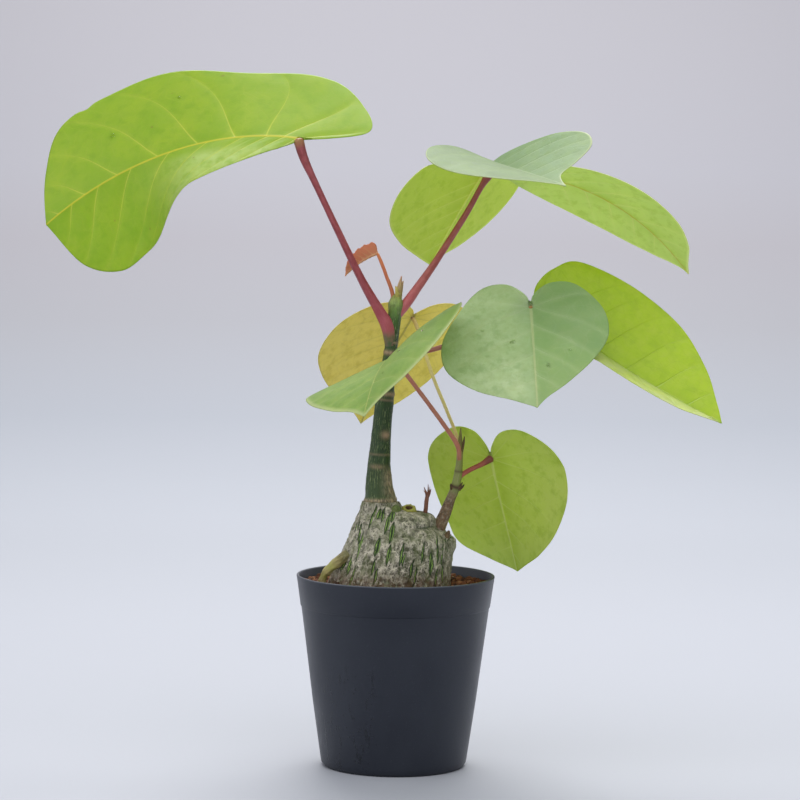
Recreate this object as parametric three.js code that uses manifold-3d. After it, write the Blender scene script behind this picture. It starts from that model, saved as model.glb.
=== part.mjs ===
// Potted shaving brush tree: a young plant with a swollen stem base in a nursery pot.
// Millimetres, +Z up, origin at the centre of the pot's underside, +Y away from the front view.
import * as THREE from 'three';
import { mergeVertices } from 'three/addons/utils/BufferGeometryUtils.js';
import Module from 'manifold-3d';

// The pot, a common 9 cm nursery size
const POT_HEIGHT = 87;
const RIM_RADIUS = 45;
const BASE_RADIUS = 33.3;
const POT_WALL = 1.2;
const FLOOR_THICKNESS = 1.6;
const FOOT_CHAMFER = 3.2;
const BAND_HEIGHT = 14;
const BAND_TAPER = 1.9;
const BAND_STEP = 0.4;
const BAND_FOOT = POT_HEIGHT - BAND_HEIGHT;
const LIP_ROUNDING = 0.4;
const SHOULDER = 3;
const DRAIN_HOLES = 6;
const DRAIN_RADIUS = 4;
const DRAIN_RING = 21;
const DRAIN_SIDES = 12;
const POT_SIDES = 36;

// The soil, its bumps as [waves per mm across, waves per mm deep, size]
const SOIL_LEVEL = 82;
const SOIL_BUMPS = [[0.065, 0.03, 0.5], [0.14, -0.11, 0.35], [0.02, 0.09, 0.4]];
const SOIL_RINGS = 5;
const SOIL_SIDES = 30;

// Blades, and the clearance between neighbours
const BLADE_THICKNESS = 0.8;
const RIDGE_DEPTH = 0.9;
const RIDGE_TAPER = 0.7;
const RIDGE_HALF_WIDTH = 1.3;
const VEIN_SWEEP = 0.6;
const STATIONS = 14;
const COLUMN_SHARES = [0, 0.35, 0.7, 1];
const MIDRIB_STEPS = 24;
const GAP = 0.35;

// Half outlines, from the stalk to the tip: along / length, across / half width
const OUTLINES = {
  heart: [[0, 0], [-0.08, 0.07], [-0.19, 0.3], [-0.19, 0.62], [-0.02, 0.92],
    [0.28, 1], [0.58, 0.84], [0.8, 0.52], [0.91, 0.2], [1, 0]],
  lobed: [[0, 0], [-0.12, 0.04], [-0.25, 0.2], [-0.27, 0.5], [-0.1, 0.88],
    [0.25, 1.03], [0.58, 0.92], [0.8, 0.66], [0.93, 0.28], [1, 0]],
  early: [[0, 0], [-0.1, 0.05], [-0.2, 0.28], [-0.2, 0.62], [-0.03, 0.95],
    [0.24, 1], [0.5, 0.78], [0.75, 0.42], [0.9, 0.14], [1, 0]],
  late: [[0, 0], [-0.1, 0.05], [-0.2, 0.26], [-0.18, 0.55], [0, 0.82],
    [0.3, 1], [0.6, 0.96], [0.82, 0.66], [0.93, 0.26], [1, 0]],
  oval: [[0, 0], [0.04, 0.22], [0.14, 0.56], [0.32, 0.88], [0.53, 1],
    [0.73, 0.87], [0.86, 0.54], [0.92, 0.24], [0.96, 0.08], [1, 0]],
  blunt: [[0, 0], [0.04, 0.2], [0.16, 0.5], [0.33, 0.84], [0.52, 1],
    [0.67, 0.86], [0.75, 0.5], [0.79, 0.2], [0.88, 0.08], [1, 0]],
  oblique: [[0, 0], [0.02, 0.08], [0.08, 0.18], [0.2, 0.33], [0.36, 0.48],
    [0.54, 0.62], [0.7, 0.71], [0.86, 0.73], [0.98, 0.49], [1, 0]],
  broad: [[0, 0], [-0.1, 0.07], [-0.225, 0.27], [-0.175, 0.6], [-0.02, 0.93],
    [0.28, 1], [0.58, 1.09], [0.79, 0.94], [0.91, 0.5], [1, 0]],
  ovate: [[0, 0], [-0.1, 0.05], [-0.2, 0.24], [-0.17, 0.52], [0.02, 0.83],
    [0.28, 1], [0.57, 0.92], [0.79, 0.59], [0.93, 0.22], [1, 0]],
};
// How much a fuller leaf gains at the three outline points before its tip
const FULLNESS = { 6: 0.1, 7: 0.25, 8: 0.18 };

// Each leaf: where its stalk joins, its length and width in mm, then angles in degrees.
// heading turns from +X towards +Y, climb is the midrib's rise at its base, droop and swing
// are its turn down and to the left up to the tip. A half rises by the angles at base and tip,
// changing between the two shares of the length in turn, and curls up over its width.
// Its edge may ripple by wave: height in mm, waves along the length and phase.
const LEAVES = {
  leaf_top_left: {
    base: [-46, 0, 284], length: 132, width: 92, heading: 160, climb: 8, droop: 49, late: 0.85, swing: 10,
    left: { outline: 'oblique', wide: 1.16, rise: [-42, -88], turn: [0.36, 0.72] },
    right: { outline: 'broad', wide: 0.93, rise: [41, 70], wave: [1.2, 2.3, 1.5] },
  },
  leaflet_front: {
    base: [41, -1, 274], length: 80, width: 84, heading: 292, climb: -6, droop: 2,
    left: { outline: 'blunt', wide: 0.76, rise: [46, 25] },
    right: { outline: 'oval', wide: 1.16, rise: [26, 4], curl: -14 },
  },
  leaflet_lower_left: {
    base: [37.5, 5, 270], length: 53, width: 62, heading: 139, climb: -50, droop: 8,
    left: { outline: 'ovate', lobe: 0.15, wide: 1.44, rise: [12, 8], curl: -10 },
    right: { lobe: 0.15, wide: 1.06, rise: [6, 8], curl: -10 },
  },
  leaflet_right: {
    outline: 'oval', base: [46, 4, 270], length: 108, width: 56, heading: 20, climb: 0, droop: 52,
    left: { wide: 0.88, full: 0.3, rise: [-25, -10], curl: -10 },
    right: { wide: 0.97, full: 0.25, rise: [21, 15], curl: -10 },
  },
  leaf_young: {
    base: [-10, 3, 232.5], length: 18, width: 15, heading: 182, climb: -20, droop: 30,
    left: { lobe: 0.05, wide: 0.8, rise: [78, 70], wave: [0.5, 4, 0] },
    right: { lobe: 0.05, wide: 0.8, rise: [62, 66], wave: [0.5, 4, 2] },
  },
  leaf_yellow: {
    base: [6, 31, 203], length: 66, width: 64, heading: 126, climb: -45, droop: 15,
    left: { outline: 'early', lobe: 0.8, wide: 1.5, rise: [0, 0], curl: -10 },
    right: { lobe: 0.7, wide: 1.08, rise: [0, 0], curl: -10 },
  },
  leaf_edge: {
    base: [-2.5, -32, 187.5], length: 62, width: 84, heading: 258, climb: 2, droop: 47,
    left: { rise: [52, 40], curl: -26 },
    right: { wide: 0.94, rise: [-26, -25] },
  },
  leaf_heart: {
    base: [58.5, -24, 210.5], length: 57, width: 76, heading: 273, climb: -45, droop: 5,
    left: { outline: 'early', lobe: 1.3, wide: 0.9, rise: [0, 0], curl: -10 },
    right: { outline: 'late', lobe: 1.3, wide: 1.06, rise: [-8, 0], curl: -8 },
  },
  leaf_bright: {
    base: [61.3, -13.6, 211.4], length: 99, width: 80, heading: -10, climb: -38, droop: -14, swing: -8,
    left: { outline: 'ovate', lobe: 0.3, wide: 1.04, rise: [46, 40] },
    right: { lobe: 0.3, wide: 0.45, full: 1, rise: [-35, -4], turn: [0.12, 0.42] },
  },
  leaf_lower: {
    outline: 'lobed', base: [43, 8, 140], length: 57, width: 62,
    heading: 61, climb: -65, droop: 10, swing: -33,
    left: { wide: 1.08, full: 1.7, rise: [0, 0], curl: -10 },
    right: { wide: 1.32, full: -0.4, rise: [0, 0], curl: -10 },
  },
};

// Stems and stalks: x, y, z and radius at points along the middle, in mm
const LIMBS = {
  main_stem: [[-7, 0, 116, 8], [-7.5, 0, 122, 6.9], [-8.2, 0, 130, 5.7], [-7.8, 0, 142, 4.8],
    [-7, 0, 155, 4.3], [-5.8, 0, 168, 4.1], [-4.4, 0, 182, 3.2], [-3.4, 0, 190, 2.9],
    [-3, 0, 198, 3.4], [-1.8, 0, 205, 3.1], [-1.4, 0, 210, 3.4], [-1.4, 0, 213.5, 2.2]],
  side_branch: [[18.5, 0, 108, 3], [21, 0, 112.5, 2.6], [24.4, 0, 121.5, 2.1], [26.2, 0, 126, 2.1],
    [27.4, 0, 131, 1.9], [28.2, 0, 137.5, 1.6], [28.5, 0, 143.5, 1.4]],
  petiole_top_left: [[-3.2, -1.2, 194.5, 3.4], [-5, -1.6, 200, 3.2], [-8.6, -2, 206.5, 2.5],
    [-17, -3, 221, 1.8],
    [-28, -3.5, 243, 1.55], [-38, -2.4, 263.5, 1.5], [-43.5, -1, 275, 2], [-46, 0, 283, 2.4]],
  petiole_top_right: [[0, 0.5, 206, 2.4], [3.4, 1, 210.4, 2.3], [8, 1.5, 217, 2], [16.5, 2.5, 229.5, 1.6],
    [29.5, 3, 250.5, 1.4], [36, 3, 262.4, 1.3], [39.5, 3, 268, 1.9], [42.3, 2.8, 270.6, 1.9]],
  petiole_young: [[-2.4, -0.6, 211, 1], [-3.3, -0.4, 216, 0.9], [-5.6, 0.8, 222, 0.8],
    [-7.9, 2.2, 228, 0.8], [-9.6, 3, 232, 0.8]],
  petiole_yellow: [[28.2, 0.6, 141.5, 0.9], [27.4, 3.6, 149, 0.8], [22.3, 10.6, 161.5, 0.8],
    [15.5, 19, 177.5, 0.8], [8.6, 28, 198, 0.9], [6.2, 30.6, 202.6, 1.1]],
  petiole_edge: [[28.4, -0.6, 140.5, 1.2], [27, -3.6, 147, 1.1], [19.2, -8, 158.5, 1],
    [9, -17, 172.5, 1], [2, -27, 182, 1], [-2, -31.6, 186.4, 1.2]],
  petiole_heart: [[-3.4, -1, 186.5, 1.6], [2, -5, 187.2, 1.2], [17.4, -11, 190.8, 1.1],
    [38, -18.5, 198.5, 1.1], [53, -20, 206, 1.3], [58.6, -19.2, 210.2, 1.7]],
  petiole_lower: [[27.8, 0.4, 131, 1.3], [30, 1.2, 133.2, 1.1], [34, 3, 135.4, 1.1],
    [38.6, 5.4, 137.4, 1.2], [41.8, 7.2, 139.2, 1.8]],
  dead_twig: [[12.6, -1, 113, 1.2], [13.2, -1, 117, 0.9], [13.6, -1, 121, 0.9], [14, -1, 124, 0.7]],
};
// Short stalks that part from a petiole's end, one to each leaf that it carries
const FORKS = {
  petiole_top_right: [
    [[42.3, 2.8, 270.6, 1.6], [41.6, 0.6, 272.4, 1.3], [41, -0.8, 273.7, 1.1]],
    [[42, 2.8, 270, 1.5], [39.6, 4, 270.2, 1.2], [37.8, 4.9, 270.1, 1.1]],
    [[42.3, 2.8, 270.6, 1.5], [44.4, 3.6, 270.4, 1.2], [45.8, 4, 270.1, 1.1]]],
  petiole_heart: [
    [[58.6, -19.2, 210.2, 1.5], [58.5, -21.8, 210.3, 1.2], [58.4, -23.8, 210.4, 1.1]],
    [[58.6, -19.2, 210.2, 1.5], [60, -16.4, 211, 1.3], [61.2, -14.2, 211.4, 1.1]]],
};
// The stalk that carries each leaf
const STALKS = {
  leaf_top_left: 'petiole_top_left',
  leaflet_front: 'petiole_top_right',
  leaflet_lower_left: 'petiole_top_right',
  leaflet_right: 'petiole_top_right',
  leaf_young: 'petiole_young',
  leaf_yellow: 'petiole_yellow',
  leaf_edge: 'petiole_edge',
  leaf_heart: 'petiole_heart',
  leaf_bright: 'petiole_heart',
  leaf_lower: 'petiole_lower',
};
const SIDES = { main_stem: 14, side_branch: 10 };
const THIN_SIDES = 8;
const STEPS = { main_stem: 22, dead_twig: 5, petiole_young: 8 };
const LIMB_STEPS = 12;

// The caudex: height, left reach, right reach and half depth
const CAUDEX_LEVELS = [[50, -12, 8, 10], [56, -22, 17, 19], [68, -29, 24, 26], [80, -30, 25.6, 27],
  [88, -28, 25.8, 26], [96, -24.7, 26, 24.5], [102.6, -21.9, 26.4, 22], [106.4, -20.6, 22.6, 19.5],
  [109, -19.7, 18.9, 18], [113, -18.2, 16.6, 15.5], [115.5, -17.2, 13.4, 12.5],
  [117.3, -16.6, 3.4, 10], [120.4, -15.6, 0.6, 8.2]];
const CAUDEX_SIDES = 24;
const CAUDEX_STEPS = 15;
const RIDGE_HEIGHT = 0.9;
const STUB = { at: [5.6, -4, 117.6], radius: 2.9, hollow: 1.4, depth: 2.2, height: 3.4, lean: 0.35 };
const SHOOT = [[-24, -8, 96, 2.6], [-29.5, -9, 91.5, 2.2], [-33, -9.5, 87, 2], [-35, -9.5, 79, 1.8]];
const SMALL_BUD = [[23, -4, 105.5, 1.3], [24.6, -4.6, 109.8, 0.3]];

// Bud scales: points along each pointed scale
const TIP_SCALES = [
  [[-0.4, 0.2, 213, 1.8], [0, -0.2, 217, 1.2], [1, -0.4, 223, 0.25]],
  [[-0.8, -1.4, 213, 1.1], [-1, -2, 216, 0.8], [-1.6, -2.4, 218.2, 0.25]],
  [[0, 1, 213, 1.3], [0.8, 1.4, 217, 0.9], [1.8, 1.8, 220.4, 0.25]],
];
const SIDE_SCALES = [
  [[28.5, 0, 143, 1.2], [28.5, 0, 148.5, 1], [28.7, 0, 154.6, 0.25]],
  [[29, -0.3, 143.6, 0.8], [30, -0.4, 147.5, 0.6], [30.4, -0.5, 150.6, 0.2]],
];
const TWIG_SPIKES = [
  [[13.8, -1, 122.5, 0.6], [13.4, -1.1, 124.5, 0.5], [12.2, -1.2, 127.4, 0.15]],
  [[13.9, -1, 122.5, 0.6], [14.3, -0.8, 125, 0.4], [14.2, -0.8, 128.6, 0.15]],
  [[14, -1, 122.5, 0.5], [15, -1.2, 124.4, 0.4], [15.6, -1.4, 126.6, 0.15]],
];

const wasm = await Module();
wasm.setup();

const radians = THREE.MathUtils.degToRad;
const { lerp, clamp, smoothstep } = THREE.MathUtils;

// A closed geometry as a solid that can be joined and cut
function solid(geometry) {
  const bare = geometry.clone();
  bare.deleteAttribute('normal');
  bare.deleteAttribute('uv');
  const merged = mergeVertices(bare, 1e-4);
  const ids = merged.index.array;
  const kept = [];
  for (let i = 0; i < ids.length; i += 3) {
    const [a, b, c] = [ids[i], ids[i + 1], ids[i + 2]];
    if (a !== b && b !== c && c !== a) kept.push(a, b, c);
  }
  return new wasm.Manifold(new wasm.Mesh({
    numProp: 3,
    vertProperties: new Float32Array(merged.attributes.position.array),
    triVerts: new Uint32Array(kept),
  }));
}

// The geometry of a solid's largest body
function geometryOf(body) {
  const parts = body.decompose().sort((a, b) => b.volume() - a.volume());
  const mesh = parts[0].getMesh();
  const geometry = new THREE.BufferGeometry();
  geometry.setAttribute('position', new THREE.BufferAttribute(new Float32Array(mesh.vertProperties), 3));
  geometry.setIndex(new THREE.BufferAttribute(new Uint32Array(mesh.triVerts), 1));
  return geometry;
}

// A smooth curve through points of any size, read at t from 0 to 1
function through(points, t) {
  const last = points.length - 1;
  const i = Math.min(Math.floor(t * last), last - 1);
  const f = t * last - i;
  return points[0].map((_, k) => {
    const p1 = points[i][k];
    const p2 = points[i + 1][k];
    const p0 = i > 0 ? points[i - 1][k] : 2 * p1 - p2;
    const p3 = i + 2 <= last ? points[i + 2][k] : 2 * p2 - p1;
    return 0.5 * (2 * p1 + (p2 - p0) * f + (2 * p0 - 5 * p1 + 4 * p2 - p3) * f * f
      + (3 * p1 - p0 - 3 * p2 + p3) * f * f * f);
  });
}

// A round limb along its points, wider by grow all over
function limb(points, sides, steps, grow = 0) {
  const geometry = new THREE.CylinderGeometry(1, 1, 1, sides, steps);
  const curve = new THREE.CatmullRomCurve3(
    points.map(([x, y, z]) => new THREE.Vector3(x, y, z)), false, 'catmullrom');
  const at = geometry.attributes.position;
  const v = new THREE.Vector3();
  const side = new THREE.Vector3();
  const other = new THREE.Vector3();
  for (let i = 0; i < at.count; i += 1) {
    v.fromBufferAttribute(at, i);
    const t = v.y + 0.5;
    const tangent = curve.getTangent(t);
    side.crossVectors(new THREE.Vector3(0, 1, 0), tangent).normalize();
    other.crossVectors(side, tangent);
    const radius = through(points, t)[3] + grow;
    const centre = curve.getPoint(t);
    if (t < 1e-6) centre.addScaledVector(tangent, -grow);
    if (t > 1 - 1e-6) centre.addScaledVector(tangent, grow);
    centre.addScaledVector(side, v.x * radius).addScaledVector(other, v.z * radius);
    at.setXYZ(i, centre.x, centre.y, centre.z);
  }
  return geometry;
}

// A half's outline as [along, across] in mm, read at t from 0 at the stalk to 1 at the tip
function outlineOf(leaf, half) {
  const points = OUTLINES[half.outline ?? leaf.outline ?? 'heart'].map(([along, across], i) => [
    (along < 0 ? along * (half.lobe ?? 1) : along) * leaf.length,
    (across + (FULLNESS[i] ?? 0) * (half.full ?? 0)) * (half.wide ?? 1) * leaf.width / 2,
  ]);
  return (t) => through(points, t);
}

// The midrib's direction at a share of the length, as its slope and heading
function midribTurn(leaf, share) {
  return [
    radians(leaf.climb - leaf.droop * share ** (leaf.late ?? 1)),
    radians(leaf.heading + (leaf.swing ?? 0) * share),
  ];
}

// Places a flat leaf point, u along the midrib and v across it (left is plus), in space
function bladePoint(leaf) {
  const forward = (share) => {
    const [slope, turn] = midribTurn(leaf, share);
    return new THREE.Vector3(
      Math.cos(slope) * Math.cos(turn), Math.cos(slope) * Math.sin(turn), Math.sin(slope));
  };
  const spine = [new THREE.Vector3(...leaf.base)];
  for (let i = 0; i < MIDRIB_STEPS; i += 1) {
    const step = forward(i / MIDRIB_STEPS).add(forward((i + 1) / MIDRIB_STEPS));
    spine.push(spine[i].clone().addScaledVector(step, leaf.length / MIDRIB_STEPS / 2));
  }
  return (u, v, leftSide = v >= 0) => {
    const share = clamp(u / leaf.length, 0, 1);
    const [slope, turn] = midribTurn(leaf, share);
    const place = share * MIDRIB_STEPS;
    const i = Math.min(Math.floor(place), MIDRIB_STEPS - 1);
    const point = spine[i].clone().lerp(spine[i + 1], place - i);
    point.addScaledVector(forward(share), Math.min(u, 0));
    const half = leftSide ? leaf.left : leaf.right;
    const [from, to] = half.turn ?? [0, 1];
    const change = half.turn ? smoothstep(share, from, to) : share;
    const rise = radians(lerp(half.rise[0], half.rise[1], change));
    const bend = radians(half.curl ?? 0.01) / (leaf.width / 2);
    const out = Math.abs(v);
    const across = (Math.sin(rise + bend * out) - Math.sin(rise)) / bend;
    const edge = out / (leaf.width / 2);
    const [height, waves, phase] = half.wave ?? [0, 0, 0];
    const ripple = height * edge ** 2 * Math.sin(2 * Math.PI * waves * u / leaf.length + phase);
    const lift = (Math.cos(rise) - Math.cos(rise + bend * out)) / bend + ripple;
    point.addScaledVector(
      new THREE.Vector3(-Math.sin(turn), Math.cos(turn), 0), leftSide ? across : -across);
    return point.addScaledVector(new THREE.Vector3(
      -Math.sin(slope) * Math.cos(turn), -Math.sin(slope) * Math.sin(turn), Math.cos(slope)), lift);
  };
}

// The way that a blade's upper face looks, longer than 1 along a creased midrib
function bladeNormal(leaf, place, toTip, v, sign) {
  const step = 0.05;
  const u = Math.min(toTip, leaf.length - step);
  const normal = (side) => {
    const out = Math.max(v, step);
    const along = place(u + step, v * side, side > 0).sub(place(u - step, v * side, side > 0));
    const across = place(u, (out + step) * side, side > 0).sub(place(u, (out - step) * side, side > 0));
    return along.cross(across).multiplyScalar(side).normalize();
  };
  if (v > 1e-6) return normal(sign);
  const mean = normal(1).add(normal(-1)).multiplyScalar(0.5);
  return mean.divideScalar(mean.lengthSq());
}

// Shares of a rib's length at which it has points: its start, the ridge's side and on to the edge
function columns(across) {
  const first = Math.min(RIDGE_HALF_WIDTH / Math.max(across, 0.1), 0.35);
  return [0, ...COLUMN_SHARES.map((share) => lerp(first, 1, share))];
}

// A leaf blade as a thin closed sheet with a ridge under its midrib
function blade(leaf) {
  const place = bladePoint(leaf);
  const halves = [
    { sign: 1, read: outlineOf(leaf, leaf.left) },
    { sign: -1, read: outlineOf(leaf, leaf.right) },
  ];
  const start = (t) => halves.reduce((sum, { read }) => {
    const [along, across] = read(t);
    return sum + clamp(along - VEIN_SWEEP * across, 0, leaf.length) / 2;
  }, 0);
  const ids = new Map();
  const middle = [];
  const normals = [];
  const ridge = [];
  const vertex = (u, v, sign, depth) => {
    const key = `${u.toFixed(4)} ${(v * sign).toFixed(4)}`;
    if (!ids.has(key)) {
      ids.set(key, middle.length);
      middle.push(place(u, v * sign, sign > 0));
      normals.push(bladeNormal(leaf, place, u, v, sign));
      ridge.push(depth);
    }
    return ids.get(key);
  };
  const faces = [];
  const add = (a, b, c) => {
    if (a !== b && b !== c && c !== a) faces.push([a, b, c]);
  };
  for (const { sign, read } of halves) {
    const rows = [];
    for (let k = 0; k <= STATIONS; k += 1) {
      const t = k / STATIONS;
      const from = start(t);
      const [along, across] = read(t);
      rows.push(columns(across).map((c) => vertex(
        lerp(from, along, c), across * c, sign, c === 0 ? RIDGE_DEPTH * (1 - RIDGE_TAPER * t) : 0)));
    }
    for (let k = 0; k < STATIONS; k += 1) {
      for (let c = 0; c < COLUMN_SHARES.length; c += 1) {
        const [a, b, d, e] = [rows[k][c], rows[k + 1][c], rows[k + 1][c + 1], rows[k][c + 1]];
        if (sign > 0) {
          add(a, b, d);
          add(a, d, e);
        } else {
          add(a, d, b);
          add(a, e, d);
        }
      }
    }
  }
  const count = middle.length;
  const points = [];
  for (const [side, extra] of [[1, 0], [-1, 1]]) {
    middle.forEach((point, i) => {
      const normal = normals[i];
      const reach = BLADE_THICKNESS / 2 * normal.length() + extra * ridge[i];
      points.push(point.clone().addScaledVector(normal.clone().normalize(), side * reach));
    });
  }
  const edges = new Set(faces.flatMap(([a, b, c]) => [`${a} ${b}`, `${b} ${c}`, `${c} ${a}`]));
  const triangles = faces.flatMap(([a, b, c]) => [a, b, c, count + a, count + c, count + b]);
  for (const [a, b, c] of faces) {
    for (const [from, to] of [[a, b], [b, c], [c, a]]) {
      if (!edges.has(`${to} ${from}`)) {
        triangles.push(from, count + from, count + to, from, count + to, to);
      }
    }
  }
  const geometry = new THREE.BufferGeometry().setFromPoints(points);
  geometry.setIndex(triangles);
  return geometry;
}

// The swollen base, with upright ridges and hollows, wider by grow all over
function caudexBody(grow = 0) {
  const geometry = new THREE.CylinderGeometry(1, 1, 1, CAUDEX_SIDES, CAUDEX_STEPS);
  const at = geometry.attributes.position;
  for (let i = 0; i < at.count; i += 1) {
    const t = at.getY(i) + 0.5;
    const reach = Math.hypot(at.getX(i), at.getZ(i));
    const angle = Math.atan2(-at.getZ(i), at.getX(i));
    const [z, left, right, depth] = through(CAUDEX_LEVELS, t);
    const ridges = Math.sin(5 * angle + 0.06 * z) + 0.7 * Math.sin(9 * angle - 0.05 * z + 1)
      + 0.6 * Math.sin(3 * angle + 0.11 * z + 2);
    const out = RIDGE_HEIGHT * ridges * Math.sin(Math.PI * clamp(t, 0.04, 0.9)) + grow;
    const top = t > 1 - 1e-6 ? grow : 0;
    const bottom = t < 1e-6 ? grow : 0;
    at.setXYZ(
      i,
      (left + right) / 2 + reach * Math.cos(angle) * ((right - left) / 2 + out),
      reach * Math.sin(angle) * (depth + out),
      z + top - bottom,
    );
  }
  return solid(geometry);
}

// The hollow cut stub on the caudex
function cutStub() {
  const { at, radius, hollow, depth, height, lean } = STUB;
  const profile = [[0, -height], [radius * 1.2, -height], [radius, 0], [(radius + hollow) / 2, 0.5],
    [hollow, 0], [hollow * 0.7, -depth], [0, -depth]].map(([x, y]) => new THREE.Vector2(x, y));
  const geometry = new THREE.LatheGeometry(profile, 12);
  geometry.rotateX(Math.PI / 2);
  geometry.rotateX(lean);
  geometry.translate(...at);
  return solid(geometry);
}

// The caudex with the things that grew on it, wider by grow all over
function caudex(grow = 0) {
  return caudexBody(grow)
    .add(solid(limb(SHOOT, THIN_SIDES, 8, grow)))
    .add(solid(limb(SMALL_BUD, THIN_SIDES, 2, grow)))
    .add(cutStub());
}

// The pot's radius outside at a height below the rim band
function wallRadius(z) {
  return lerp(BASE_RADIUS, RIM_RADIUS - BAND_TAPER - BAND_STEP, z / BAND_FOOT);
}

// The rim band's radius outside at a height
function bandRadius(z) {
  return lerp(RIM_RADIUS - BAND_TAPER, RIM_RADIUS, (z - BAND_FOOT) / BAND_HEIGHT);
}

// The pot's radius inside, which widens over a short shoulder into the rim band
function innerRadius(z) {
  if (z <= BAND_FOOT) return wallRadius(z) - POT_WALL;
  const share = clamp((z - BAND_FOOT) / SHOULDER, 0, 1);
  return lerp(wallRadius(BAND_FOOT), bandRadius(z), share) - POT_WALL;
}

// A profile of [radius, height] points turned about the upright axis
function turned(profile, sides) {
  const geometry = new THREE.LatheGeometry(profile.map(([x, y]) => new THREE.Vector2(x, y)), sides);
  return geometry.rotateX(Math.PI / 2);
}

// The nursery pot: a thin wall turned about the axis, with drain holes in its floor
function pot() {
  const lipInside = RIM_RADIUS - POT_WALL;
  const geometry = turned([
    [0, 0],
    [BASE_RADIUS - FOOT_CHAMFER / 2, 0],
    [BASE_RADIUS, FOOT_CHAMFER],
    [wallRadius(BAND_FOOT), BAND_FOOT],
    [bandRadius(BAND_FOOT), BAND_FOOT],
    [RIM_RADIUS, POT_HEIGHT - LIP_ROUNDING],
    [RIM_RADIUS - LIP_ROUNDING, POT_HEIGHT],
    [lipInside + LIP_ROUNDING, POT_HEIGHT],
    [lipInside, POT_HEIGHT - LIP_ROUNDING],
    [innerRadius(BAND_FOOT + SHOULDER), BAND_FOOT + SHOULDER],
    [innerRadius(BAND_FOOT), BAND_FOOT],
    [innerRadius(FLOOR_THICKNESS), FLOOR_THICKNESS],
    [0, FLOOR_THICKNESS],
  ], POT_SIDES);
  let body = solid(geometry);
  for (let i = 0; i < DRAIN_HOLES; i += 1) {
    const angle = 2 * Math.PI * i / DRAIN_HOLES;
    const hole = new THREE.CylinderGeometry(DRAIN_RADIUS, DRAIN_RADIUS, 4 * FLOOR_THICKNESS, DRAIN_SIDES);
    hole.rotateX(Math.PI / 2);
    hole.translate(DRAIN_RING * Math.cos(angle), DRAIN_RING * Math.sin(angle), 0);
    body = body.subtract(solid(hole));
  }
  return body;
}

// The soil that fills the pot, with an uneven top and a plain hole for the caudex
function soil() {
  const bottom = FLOOR_THICKNESS + GAP;
  const edge = innerRadius(SOIL_LEVEL) - GAP;
  const profile = [
    [0, bottom],
    [innerRadius(bottom) - GAP, bottom],
    [innerRadius(BAND_FOOT) - GAP, BAND_FOOT],
    [innerRadius(BAND_FOOT + SHOULDER) - GAP, BAND_FOOT + SHOULDER],
  ];
  for (let i = SOIL_RINGS; i >= 0; i -= 1) profile.push([edge * i / SOIL_RINGS, SOIL_LEVEL]);
  const geometry = turned(profile, SOIL_SIDES);
  const at = geometry.attributes.position;
  for (let i = 0; i < at.count; i += 1) {
    const [x, y, z] = [at.getX(i), at.getY(i), at.getZ(i)];
    if (z > SOIL_LEVEL - 0.01 && Math.hypot(x, y) < edge - 1) {
      const bump = SOIL_BUMPS.reduce((sum, [across, deep, size]) => (
        sum + size * (1 + Math.sin(2 * Math.PI * (across * x + deep * y)))), 0);
      at.setZ(i, z + bump / 2);
    }
  }
  return solid(geometry).subtract(caudex(GAP));
}

// Pointed scales or spikes joined into one body
function joined(scales) {
  return scales.map((points) => solid(limb(points, 6, 4))).reduce((all, one) => all.add(one));
}

const sidesOf = (name) => SIDES[name] ?? THIN_SIDES;
const stepsOf = (name) => STEPS[name] ?? LIMB_STEPS;
const limbSolid = (name, grow = 0) => solid(limb(LIMBS[name], sidesOf(name), stepsOf(name), grow));

// A limb with its forks
function branched(name, grow = 0) {
  const forks = FORKS[name] ?? [];
  return forks.reduce((body, points) => body.add(solid(limb(points, 6, 3, grow))), limbSolid(name, grow));
}

// A leaf blade notched where its stalk meets it
function notchedBlade(name) {
  return solid(blade(LEAVES[name])).subtract(branched(STALKS[name], GAP));
}

const finish = (color, roughness) => new THREE.MeshStandardMaterial({ color, roughness, metalness: 0 });

const colours = {
  pot: finish(0x22252b, 0.5),
  soil: finish(0x5a3b2a, 0.95),
  caudex: finish(0x83877a, 0.9),
  main_stem: finish(0x2f4426, 0.7),
  side_branch: finish(0x5a5a3a, 0.8),
  dead_twig: finish(0x6a4a3c, 0.9),
  tip_bud: finish(0x9a8a5a, 0.7),
  side_bud: finish(0x6a6a35, 0.7),
  petiole_top_left: finish(0x6d2a2c, 0.5),
  leaf_top_left: finish(0x86ad2e, 0.5),
  petiole_top_right: finish(0x8a3a40, 0.5),
  leaflet_front: finish(0x8fb07c, 0.6),
  leaflet_lower_left: finish(0x86ac40, 0.55),
  leaflet_right: finish(0x8cb254, 0.55),
  petiole_young: finish(0xa0522f, 0.6),
  leaf_young: finish(0xc0653c, 0.6),
  petiole_yellow: finish(0xb79a4a, 0.6),
  leaf_yellow: finish(0xa89f45, 0.6),
  petiole_edge: finish(0xa5605a, 0.6),
  leaf_edge: finish(0x6f9f5c, 0.55),
  petiole_heart: finish(0x8a5a45, 0.6),
  leaf_heart: finish(0x7fa57c, 0.55),
  leaf_bright: finish(0x8ab81c, 0.5),
  petiole_lower: finish(0x8f4440, 0.6),
  leaf_lower: finish(0x7f9a2c, 0.55),
};

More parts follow.
